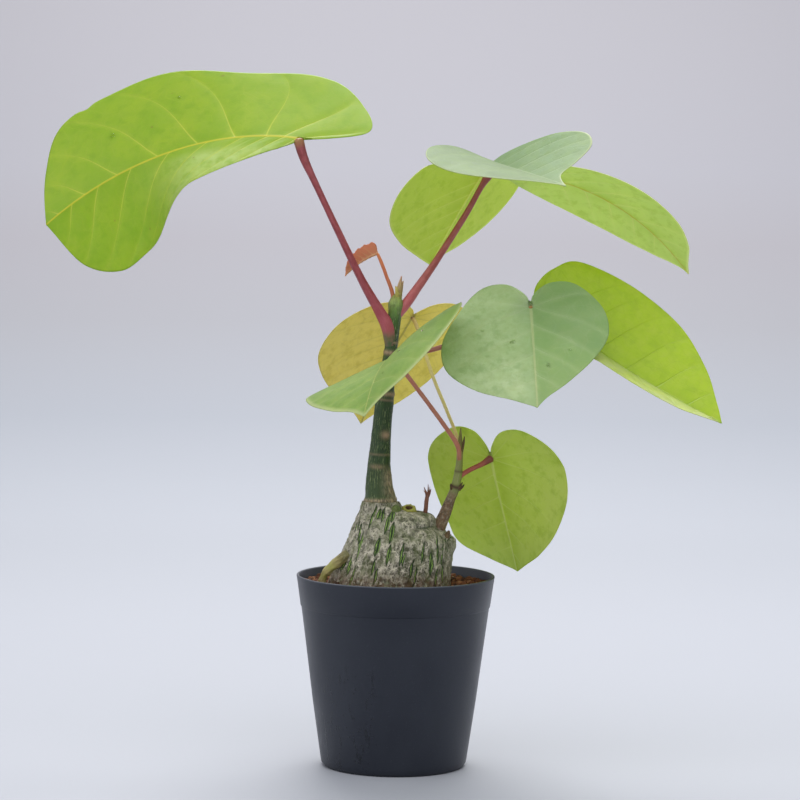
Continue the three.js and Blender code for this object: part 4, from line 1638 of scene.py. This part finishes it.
@dataclass
class Foliage:
    """All leaf blades, each on the surface of its solid."""

    def blades(self) -> list[Blade]:
        """The leaves with their places, shapes and finishes."""
        return [
            Blade("leaf_top_left", (-46, 0, 284), 132, 92, 160, 8, 49,
                  Half((-42, -88), wide=1.16, turn=(0.36, 0.72), outline=Outline.OBLIQUE),
                  Half((41, 70), wide=0.93, outline=Outline.BROAD, wave=(1.2, 2.3, 1.5),
                       nicks=((0.735, 0.01, 1.4),)),
                  LeafFinish("leaf_top_left_skin", "93b41f", "9cb436", "b2c42b", "d9db51", "acce10",
                             # the pale c4d685 tone is a painted sheen on the left half near the
                             # stalk
                             net="cdd450", rib="dbce34", deep="7da610", painted_sheen="c4d685", marks=0.8,
                             roughness=0.38, depth=0.08),
                  late=0.85, swing=10, sweep=1.0, bow=0.2, fan=(0.25, 0.45), rows=150,
                  ribs=(0.05, 0.11, 0.2, 0.335, 0.48, 0.63, 0.765, 0.88)),
            Blade("leaflet_front", (41, -1, 274), 80, 84, 292, -6, 2,
                  Half((46, 25), wide=0.76, outline=Outline.BLUNT),
                  Half((26, 4), -14, 1.16, outline=Outline.OVAL),
                  LeafFinish("leaflet_front_skin", "85a478", "87a551", "98b07c", "baca97", "9fbb45",
                             edge="ccd4a3", deep="6e8c57", right="5d754e", vein_share=0.15,
                             roughness=0.5),
                  ribs=(0.08, 0.2, 0.34, 0.5, 0.66, 0.82), fan=(), quilt=0.08),
            Blade("leaflet_lower_left", (37.5, 5, 270), 53, 62, 139, -50, 8,
                  Half((12, 8), -10, 1.44, lobe=0.15, outline=Outline.OVATE),
                  Half((6, 8), -10, 1.06, lobe=0.15),
                  LeafFinish("leaflet_lower_left_skin", "a4bc53", "becb65", "ceda6f", "eff097",
                             "d9ec30", edge="eff0af", deep="86a539", vein_share=0.3),
                  ribs=(0.1, 0.24, 0.4, 0.58, 0.76), fan=(0.4,), sweep=1.0),
            Blade("leaflet_right", (46, 4, 270), 108, 56, 20, 0, 52,
                  Half((-25, -10), -10, 0.88, 0.3), Half((21, 15), -10, 0.97, 0.25),
                  LeafFinish("leaflet_right_skin", "acc26c", "bfd388", "d5e18b", "fbf8b2", "d7eb3a",
                             edge="f9f5cc", rib="c9b12f", deep="88a648", vein_share=0.3),
                  outline=Outline.OVAL, ribs=(0.06, 0.15, 0.26, 0.38, 0.5, 0.63, 0.76, 0.88),
                  fan=(), rows=130, sweep=0.95),
            Blade("leaf_young", (-10, 3, 232.5), 18, 15, 182, -20, 30,
                  Half((78, 70), wide=0.8, lobe=0.05, wave=(0.7, 6, 0)),
                  Half((62, 66), wide=0.8, lobe=0.05, wave=(0.7, 7, 2)),
                  LeafFinish("leaf_young_skin", "bc5c40", "d28a66", "dc9c68", "e4b482", "e0703c",
                             lit=0.3, net="8f3c2c"),
                  ribs=(0.1, 0.22, 0.34, 0.46, 0.58, 0.7, 0.82), fan=(), rows=70, ridge=0.3,
                  thickness=0.4, quilt=0.25),
            Blade("leaf_yellow", (6, 31, 203), 66, 64, 126, -45, 15,
                  Half((0, 0), -10, 1.5, lobe=0.8, outline=Outline.EARLY),
                  Half((0, 0), -10, 1.08, lobe=0.7),
                  LeafFinish("leaf_yellow_skin", "c9c067", "dfd589", "e5d88b", "a8ab5c", "ece244",
                             net="bbb967", rib="85844a", deep="a5984a", vein_share=0.28),
                  ribs=(0.1, 0.22, 0.36, 0.5, 0.64, 0.78)),
            Blade("leaf_edge", (-2.5, -32, 187.5), 62, 84, 258, 2, 47,
                  Half((52, 40), -26), Half((-26, -25), wide=0.94),
                  LeafFinish("leaf_edge_skin", "84a551", "a3b662", "a7be65", "d0d57b", "b1ce45",
                             edge="d4d9a2", rim=2.2, deep="6f9645", vein_share=0.2),
                  ribs=(0.12, 0.28, 0.46, 0.64, 0.82)),
            Blade("leaf_heart", (58.5, -24, 210.5), 57, 76, 273, -45, 5,
                  Half((0, 0), -10, 0.9, lobe=1.3, outline=Outline.EARLY),
                  Half((-8, 0), -8, 1.06, lobe=1.3, outline=Outline.LATE),
                  LeafFinish("leaf_heart_skin", "92af7b", "9fb37b", "a9c18d", "ebefcc", "c9e272",
                             net="dce5bd", rib="e5e4ad", deep="82a671", tip="dcdfbb",
                             # the pale right tone is painted light that lifts the shade on the
                             # right half
                             left="80a660", right="d3e3be", vein_share=0.06, roughness=0.46),
                  ribs=(0.18, 0.42, 0.68), fan=(0.18, 0.36, 0.52)),
            Blade("leaf_bright", (61.3, -13.6, 211.4), 99, 80, -10, -38, -14,
                  Half((46, 40), wide=1.04, lobe=0.3, outline=Outline.OVATE),
                  Half((-35, -4), wide=0.45, full=1, lobe=0.3, turn=(0.12, 0.42)),
                  LeafFinish("leaf_bright_skin", "a7c20a", "bcc646", "b8ce19", "84a306", "cde606",
                             # the pale right tone is a painted sheen along the right half
                             net="8ca908", rib="98b418", deep="8fae08", right="b0b68a",
                             vein_share=0.3, shut=0.34, roughness=0.34),
                  swing=-8, ribs=(0.08, 0.2, 0.34, 0.5, 0.66, 0.82), fan=(0.4,)),
            Blade("leaf_lower", (43, 8, 140), 57, 62, 61, -65, 10,
                  Half((0, 0), -10, 1.08, 1.7), Half((0, 0), -10, 1.32, -0.4),
                  LeafFinish("leaf_lower_skin", "a8bc3a", "ccd574", "bfd051", "dbe583", "cce330",
                             net="9dae34", rib="e1e6a2", deep="8ba42d", vein_share=0.45,
                             roughness=0.4),
                  outline=Outline.LOBED, swing=-33, ribs=(0.14, 0.34, 0.56, 0.78),
                  fan=(0.16, 0.28, 0.4, 0.5)),
        ]

    def drops(self) -> dict[str, tuple[Drop, ...]]:
        """The drops of water on each leaf that carries any."""
        return {
            "leaf_top_left": (Drop(88, 22, False, 1.3), Drop(58, 30, False, 1.0)),
            "leaf_heart": (Drop(20, 9, False, 1.3, 1.3), Drop(28, 20, False, 0.9),
                           Drop(12, 22, False, 0.8), Drop(34, 6, True, 1.0, 1.2),
                           Drop(25, 16, True, 0.8)),
            "leaf_edge": (Drop(26, 12, True, 1.0), Drop(38, 6, True, 0.8), Drop(20, 24, True, 0.7)),
            "leaf_lower": (Drop(30, 6, False, 1.2),),
            "leaf_bright": (Drop(94.5, 1.5, False, 1.3, 1.3),),
        }

    def build(self) -> None:
        """Makes every blade and its drops."""
        water = WaterFinish()
        drops = self.drops()
        for blade in self.blades():
            blade.build(blade.name)
            if blade.name in drops:
                wet(blade, drops[blade.name], water)


@dataclass(frozen=True)
class Petiole:
    """A leaf stalk, and the short forks at its end where it carries more than one blade."""

    slot: str
    points: tuple[Row, ...]
    run: Run
    streak: str
    share: float = 0.25
    roughness: float = 0.42
    depth: float = 0.1
    sides: int = 24
    steps: int = 130
    uneven: float = 0.05
    forks: tuple[tuple[Row, ...], ...] = ()

    def build(self) -> None:
        """Makes the stalk."""
        skin = StalkFinish(f"{self.slot}_skin", self.run, self.streak, self.share,
                           roughness=self.roughness, depth=self.depth)
        Stalk(f"{self.slot}_stalk", self.points, skin, sides=self.sides, steps=self.steps,
              uneven=self.uneven).build(self.slot, (self.slot,))

    def fork(self, knob: StalkFinish) -> None:
        """Makes the forks in the knob's finish."""
        tuft(f"{self.slot}_fork", self.slot, self.forks, (knob,), sides=24, steps=24)


@dataclass
class Stems:
    """The stem, the side branch, all leaf stalks, the buds and the dead twig."""

    knob: StalkFinish = StalkFinish(
        "petiole_knob", ((0.0, "6e2a2c"), (0.5, "7c3432"), (1.0, "9a7a3c")), "a05048", 0.25,
        roughness=0.4)

    def trunk(self) -> None:
        """Makes the main stem with its leaf scars, its bark and its eye."""
        rings = tuple(Mark(z, high, raised=raised, share=share)
                      for z, high, raised, share in ((188, 1.1, 0.4, 0.75), (192.6, 0.6, 0.3, 0.6),
                                                     (169.5, 1.0, 0.4, 0.8), (166.8, 0.5, 0.2, 0.5),
                                                     (142, 0.5, 0.2, 0.35)))
        eye = (Mark(151, 1.7, 62, 26, 0.7), Mark(151, 0.6, 62, 12, -0.7, share=0.3),
               Mark(136.5, 1.0, 100, 40, 0.2, share=0.6))
        bark = tuple(Mark(z, 3.0, 30, 34, 0.35, "bark") for z in (121, 125, 129, 132.5))
        collar = Mark(121.3, 1.0, raised=0.5, layer="bark", share=0.85)
        skin = StalkFinish(
            "main_stem_skin",
            ((0.0, "5a5c38"), (0.08, "2e4416"), (0.3, "18340c"), (0.7, "203c0c"), (0.79, "3f6024"),
             (0.86, "6f9044"), (0.95, "94a85a"), (1.0, "a0a850")),
            "3c5a22", 0.3, 0.7, scar="a58a6c", bark="b09c7c", depth=0.3, cracks="98a870")
        Stalk("main_stem_bark",
              ((-7, 0, 112, 8.6), (-7.5, 0, 122, 6.9), (-8.2, 0, 130, 5.7), (-7.8, 0, 142, 4.8),
               (-7, 0, 155, 4.3), (-5.8, 0, 168, 4.1), (-4.4, 0, 182, 3.2), (-3.4, 0, 190, 2.9),
               (-3, 0, 198, 3.4), (-1.8, 0, 205, 3.1), (-1.4, 0, 210, 3.4), (-1.4, 0, 213.5, 2.2)),
              skin, (*rings, *eye, *bark, collar), sides=72, steps=300, uneven=0.035,
              grooves=0.035).build("main_stem", ("main_stem",))

    def branch(self) -> None:
        """Makes the side branch with its withered stipules."""
        brown = tuple(Mark(z, 5.0, raised=0.15, layer="bark", share=0.95) for z in (108, 114, 119))
        scars = (Mark(127.5, 0.9, raised=0.35), Mark(134.5, 0.6, raised=0.25, share=0.6))
        skin = StalkFinish(
            "side_branch_skin",
            ((0.0, "6a5236"), (0.42, "7a6a44"), (0.5, "6c7c3c"), (0.62, "7d8a44"), (0.8, "7c8440"),
             (1.0, "8a8a48")),
            "a09c6a", 0.35, scar="4a3424", bark="6f5238")
        Stalk("side_branch_bark",
              ((18.5, 0, 106.5, 3.1), (21, 0, 112.5, 2.6), (24.4, 0, 121.5, 2.1),
               (26.2, 0, 126, 2.1), (27.4, 0, 131, 1.9), (28.2, 0, 137.5, 1.6),
               (28.5, 0, 143.5, 1.4)),
              skin, (*brown, *scars), sides=40, steps=160).build("side_branch", ("side_branch",))
        tuft("stipule", "side_branch",
             (((27.2, -0.9, 126.4, 0.9), (28.6, -1.5, 127.6, 0.7), (29.8, -1.6, 129.6, 0.2)),
              ((28.2, 0.4, 126.2, 0.8), (29.6, 0.4, 127.2, 0.6), (30.6, 0.5, 128.4, 0.2)),
              ((25.2, -1.2, 126.0, 0.8), (24.6, -1.8, 127.8, 0.6), (24.4, -2.0, 129.0, 0.2))),
             (PlainFinish("stipule_husk", "5a3c26", "2e2018", "8a6a48", 0.75),),
             sides=14, steps=14, uneven=0.25, flat=0.6, cap=3)

    def thick_petioles(self) -> tuple[Petiole, ...]:
        """The three strong leaf stalks with their middle lines and colours."""
        return (
            Petiole("petiole_top_left",
                    ((-3.4, -0.3, 191.5, 2.7), (-4.8, -1.5, 199.6, 3.2), (-8.6, -2, 206.5, 2.5),
                     (-17, -3, 221, 1.8), (-28, -3.5, 243, 1.55), (-38, -2.4, 263.5, 1.5),
                     (-43.5, -1, 275, 2), (-46, 0, 283, 2.4)),
                    ((0.0, "34512a"), (0.07, "4c5a30"), (0.13, "9a4a50"), (0.24, "96404a"),
                     (0.4, "7c2c32"), (0.93, "702628"), (1.0, "8a6a34")),
                    "b8626a", 0.2, 0.34, 0.12, sides=36, steps=160, uneven=0.02),
            Petiole("petiole_top_right",
                    ((-0.6, 0.4, 205.2, 2.2), (3.4, 1, 210.4, 2.3), (8, 1.5, 217, 2),
                     (16.5, 2.5, 229.5, 1.6), (29.5, 3, 250.5, 1.4), (36, 3, 262.4, 1.3),
                     (39.5, 3, 268, 1.9), (42.3, 2.8, 270.6, 1.9)),
                    ((0.0, "b05a64"), (0.14, "ac5158"), (0.4, "96463e"), (0.8, "93463c"),
                     (0.92, "6e2a2c"), (1.0, "6a282a")),
                    "c87a74", 0.25, 0.34, 0.12, sides=36, steps=160, uneven=0.02,
                    forks=(
                        ((42.3, 2.8, 270.6, 1.7), (41.6, 0.6, 272.4, 1.3),
                         (40.9, -1.4, 273.9, 0.9)),
                        ((42, 2.8, 270, 1.6), (39.6, 4, 270.2, 1.2), (37.2, 5.2, 269.8, 0.9)),
                        ((42.3, 2.8, 270.6, 1.6), (44.4, 3.6, 270.4, 1.2),
                         (46.6, 4.2, 270, 0.9)))),
            Petiole("petiole_heart",
                    ((-3.0, -0.4, 186.2, 1.6), (2, -5, 187.2, 1.2), (17.4, -11, 190.8, 1.1),
                     (38, -18.5, 198.5, 1.1), (53, -20, 206, 1.3), (58.6, -19.2, 210.2, 1.7)),
                    ((0.0, "8f6a46"), (0.3, "9a5e48"), (0.7, "94504a"), (1.0, "7c3434")),
                    "b8806a", 0.25, 0.38, 0.12, sides=28,
                    forks=(
                        ((58.6, -19.2, 210.2, 1.6), (58.5, -21.8, 210.3, 1.2),
                         (58.5, -24.6, 210.1, 0.9)),
                        ((58.6, -19.2, 210.2, 1.6), (60, -16.4, 211, 1.3),
                         (61.8, -13.2, 211.3, 0.9)))),
        )

    def thin_petioles(self) -> tuple[Petiole, ...]:
        """The four weaker leaf stalks with their middle lines and colours."""
        return (
            Petiole("petiole_young",
                    ((-2.2, -0.6, 210.2, 1), (-3.3, -0.4, 216, 0.9), (-5.6, 0.8, 222, 0.8),
                     (-7.9, 2.2, 228, 0.8), (-9.9, 3, 232.4, 0.7)),
                    ((0.0, "9c5a3a"), (0.5, "b05a34"), (1.0, "c06a3c")), "d09060", 0.3, steps=70),
            Petiole("petiole_yellow",
                    ((28.2, 0.4, 140.8, 0.9), (27.4, 3.6, 149, 0.8), (22.3, 10.6, 161.5, 0.8),
                     (15.5, 19, 177.5, 0.8), (8.6, 28, 198, 0.9), (5.9, 31, 203.2, 1.0)),
                    ((0.0, "a08a50"), (0.15, "c8b470"), (0.7, "d6c67e"), (0.88, "c0a060"),
                     (0.97, "8a5a38"), (1.0, "7a4a30")), "e2d8a0"),
            Petiole("petiole_edge",
                    ((28.3, -0.4, 139.8, 1.1), (27, -3.6, 147, 1.1), (19.2, -8, 158.5, 1),
                     (9, -17, 172.5, 1), (2, -27, 182, 1), (-2.4, -32, 187.2, 1.1)),
                    ((0.0, "a06a50"), (0.2, "b87058"), (0.8, "b86e58"), (1.0, "8a5040")), "d8a088"),
            Petiole("petiole_lower",
                    ((27.2, 0.2, 130.4, 1.3), (30, 1.2, 133.2, 1.1), (34, 3, 135.4, 1.1),
                     (38.6, 5.4, 137.4, 1.2), (42.6, 7.7, 139.8, 1.8)),
                    ((0.0, "a86a58"), (0.3, "a85048"), (0.75, "984440"), (0.9, "702e2c"),
                     (1.0, "6a2a2a")), "c88070", sides=28, steps=70),
        )

    def buds(self) -> None:
        """Makes the pointed scales of the two buds."""
        tuft("tip_bud_scale", "tip_bud",
             (((-0.6, 0.2, 211.6, 1.9), (0, -0.2, 217, 1.2), (1, -0.4, 222.6, 0.25)),
              ((-0.8, -1.2, 211.8, 1.1), (-1, -2, 216, 0.8), (-1.6, -2.4, 218.2, 0.25)),
              ((0, 1, 212.0, 1.3), (0.8, 1.4, 217, 0.9), (1.8, 1.8, 220.4, 0.25))),
             (PlainFinish("tip_bud_pink", "8f9a48", "c08a74", "b8b070", 0.5),
              PlainFinish("tip_bud_yellow", "9aa048", "d0b860", "b49a50", 0.5),
              PlainFinish("tip_bud_back", "8a9848", "c09a78", "a0a060", 0.5)),
             ("tip_bud",), sides=24, steps=36, uneven=0.08, flat=0.7)
        tuft("side_bud_scale", "side_bud",
             (((28.5, 0, 142.4, 1.3), (28.5, 0, 148.5, 1), (28.7, 0, 154.2, 0.25)),
              ((29, -0.3, 142.8, 0.9), (30, -0.4, 147.5, 0.6), (30.4, -0.5, 150.4, 0.2))),
             (PlainFinish("side_bud_green", "7c7c3c", "8f8f48", "5c4a2c", 0.6),
              PlainFinish("side_bud_brown", "6a5230", "4a3824", "8a7a48", 0.65)),
             ("side_bud",), sides=24, steps=36, uneven=0.1, flat=0.75)

    def twig(self) -> None:
        """Makes the dead twig with its frayed end."""
        dry = PlainFinish("dead_wood", "7a4c36", "8f6250", "4e3026", 0.75)
        Stalk("dead_twig_stick",
              ((12.4, -1, 111, 1.4), (13.2, -1, 117, 0.95), (13.6, -1, 121, 0.9),
               (14, -1, 124, 0.7)),
              dry, sides=28, steps=70, uneven=0.18, grooves=0.1).build("dead_twig", ("dead_twig",))
        tuft("dead_twig_spike", "dead_twig",
             (((13.8, -1, 122.0, 0.6), (13.4, -1.1, 124.5, 0.5), (12.4, -1.2, 127.2, 0.15)),
              ((13.9, -1, 122.0, 0.6), (14.3, -0.8, 125, 0.4), (14.2, -0.8, 128.4, 0.15)),
              ((14, -1, 122.0, 0.5), (15, -1.2, 124.4, 0.4), (15.5, -1.4, 126.4, 0.15)),
              ((13.6, -1.3, 122.4, 0.3), (13.0, -1.7, 124.6, 0.2), (12.2, -1.8, 125.8, 0.1)),
              ((14.2, -0.7, 123.0, 0.3), (14.9, -0.4, 125.6, 0.2), (15.0, -0.3, 127.4, 0.1))),
             (dry,), sides=12, steps=18, uneven=0.25, cap=3)

    def build(self) -> None:
        """Makes all stems."""
        self.trunk()
        self.branch()
        thick = self.thick_petioles()
        for petiole in thick:
            petiole.build()
        for petiole in thick:
            petiole.fork(self.knob)
        for petiole in self.thin_petioles():
            petiole.build()
        self.buds()
        self.twig()


@dataclass
class Foot:
    """The swollen base with the stub, the shoot and the small bud on it."""

    levels: tuple[Row, ...] = (
        (50, -12, 8, 10), (56, -22, 17, 19), (68, -29, 24, 26), (80, -30, 25.6, 27),
        (88, -28, 25.8, 26), (96, -24.7, 26, 24.5), (102.6, -21.9, 26.4, 22),
        (106.4, -20.6, 22.6, 19.5), (109, -19.7, 18.9, 18), (113, -18.2, 16.6, 15.5),
        (115.5, -17.2, 13.4, 12.5), (117.3, -16.6, 3.4, 10), (120.4, -15.6, 0.6, 8.2))

    def shoot(self) -> None:
        """Makes the short yellowish shoot that bends down into the soil."""
        skin = StalkFinish(
            "shoot_skin", ((0.0, "7c7c50"), (0.3, "9a9a4c"), (0.7, "84803c"), (1.0, "5c5230")),
            "5c5a2c", 0.5, scar="b0a070", bark="6b4a2c", depth=0.5)
        knots = (Mark(93, 1.2, raised=0.5, share=0.5), Mark(89, 1.0, raised=0.5, share=0.5),
                 Mark(85, 0.9, raised=0.4, share=0.4), Mark(82, 3.0, layer="bark", raised=0.0),
                 Mark(95, 2.2, layer="bark", raised=0.0, share=0.4))
        Stalk("caudex_shoot",
              ((-22, -7.6, 96.6, 2.6), (-29, -9, 91.2, 1.9), (-32.6, -9.5, 86.6, 1.6),
               (-34.6, -9.5, 79, 1.6)),
              skin, knots, sides=56, steps=110, uneven=0.22).build("caudex")

    def build(self) -> None:
        """Makes the base and what grew on it."""
        Caudex(self.levels).build()
        Stub((5.6, -4, 117.9), 3.0, 1.5, 2.2, 3.4, 0.45).build()
        self.shoot()
        Stalk("caudex_knob",
              ((-1.6, -6.4, 114.6, 2.6), (-0.6, -7.2, 116.8, 2.5), (0.4, -7.2, 118.8, 1.5)),
              PlainFinish("caudex_knob_skin", "6c7440", "4a5e28", "8f9a5c", 0.6), sides=36,
              steps=30, uneven=0.25).build("caudex")
        Stalk("caudex_bud",
              ((22.4, -3.9, 104.2, 1.6), (23.4, -4.4, 106.4, 1.2), (23.9, -4.5, 107.8, 0.5)),
              PlainFinish("caudex_bud_skin", "6a5236", "4a3024", "9a8a5c", 0.6), sides=20,
              steps=24).build("caudex")


# The studio


@dataclass
class Lamp:
    """A soft square light."""

    name: str
    place: Row
    target: Row
    size: float
    power: float
    tone: Colour = (1.0, 1.0, 1.0)

    def build(self) -> None:
        """Hangs the light and turns it to its target."""
        light = bpy.data.lights.new(self.name, "AREA")
        light.shape = "SQUARE"
        light.size = self.size
        light.energy = self.power
        light.color = self.tone
        lamp = bpy.data.objects.new(self.name, light)
        lamp.location = self.place
        view = Vector(self.target) - Vector(self.place)
        lamp.rotation_euler = view.to_track_quat("-Z", "Y").to_euler()
        bpy.context.scene.collection.objects.link(lamp)


@dataclass
class Studio:
    """The paper sweep, the lights and the camera."""

    eye: Row = (0.001, -1.4, 0.2645)
    look_down: float = 4.0
    roll: float = 0.7
    lens: float = 139.5
    sensor: float = 36.0
    near_edge: float = -1.6
    bend_start: float = 0.95
    bend_radius: float = 1.1
    bend_steps: int = 24
    wall_top: float = 2.6
    half_width: float = 2.4
    sky: Colour = (0.9, 0.9, 0.94)
    sky_strength: float = 0.8

    def sweep(self) -> None:
        """Lays the paper, flat under the pot and curved up behind it."""
        bm = bmesh.new()
        line = [(self.near_edge, 0.0), (self.bend_start, 0.0)]
        for k in range(1, self.bend_steps + 1):
            angle = math.pi / 2 * k / self.bend_steps
            line.append((self.bend_start + self.bend_radius * math.sin(angle),
                         self.bend_radius * (1 - math.cos(angle))))
        line.append((self.bend_start + self.bend_radius, self.wall_top))
        verts = [bm.verts.new((-self.half_width, y, z)) for y, z in line]
        edges = [bm.edges.new(pair) for pair in zip(verts, verts[1:])]
        made = bmesh.ops.extrude_edge_only(bm, edges=edges)["geom"]
        moved = [item for item in made if isinstance(item, bmesh.types.BMVert)]
        bmesh.ops.translate(bm, vec=(2 * self.half_width, 0, 0), verts=moved)
        for face in bm.faces:
            face.smooth = True
            if face.normal.z < 0:
                face.normal_flip()
        sheet = placed(bm, "studio_sweep")
        sheet.data.materials.append(StudioFinish().material())

    def lights(self) -> None:
        """Sets the soft lights and the pale surroundings."""
        middle = (0.0, 0.0, 0.18)
        Lamp("key", (0.1, -1.0, 1.5), middle, 2.0, 16.0, (1.0, 0.985, 0.96)).build()
        Lamp("left", (-1.2, -0.6, 0.7), middle, 1.2, 4.0, (1.0, 0.99, 0.98)).build()
        Lamp("back", (0.1, 0.9, 1.5), middle, 1.3, 34.0, (1.0, 0.985, 0.95)).build()
        Lamp("wall", (0.0, 1.2, 1.3), (0.0, 1.95, 0.8), 1.2, 9.0, (0.97, 0.98, 1.0)).build()
        world = bpy.data.worlds.new("studio_air")
        world.use_nodes = True
        air = world.node_tree.nodes["Background"]
        air.inputs["Color"].default_value = (*self.sky, 1.0)
        air.inputs["Strength"].default_value = self.sky_strength
        bpy.context.scene.world = world

    def camera(self) -> None:
        """Stands the camera where the front view is seen from."""
        lens = bpy.data.cameras.new("front")
        lens.lens = self.lens
        lens.sensor_width = self.sensor
        camera = bpy.data.objects.new("front", lens)
        turn = (Matrix.Rotation(math.radians(90 - self.look_down), 4, "X")
                @ Matrix.Rotation(math.radians(self.roll), 4, "Z"))
        camera.matrix_world = Matrix.Translation(self.eye) @ turn
        bpy.context.scene.collection.objects.link(camera)
        bpy.context.scene.camera = camera
        bpy.context.scene.view_settings.view_transform = "Standard"

    def build(self) -> None:
        """Sets up the studio."""
        self.camera()
        self.sweep()
        self.lights()


def main() -> None:
    """Builds the whole object."""
    logging.basicConfig(level=logging.INFO, format="%(message)s")
    Studio().build()
    pot = Pot()
    pot.build()
    soil = Soil(pot)
    soil.bed()
    soil.grit()
    Foot().build()
    Stems().build()
    Foliage().build()


if __name__ == "__main__":
    main()
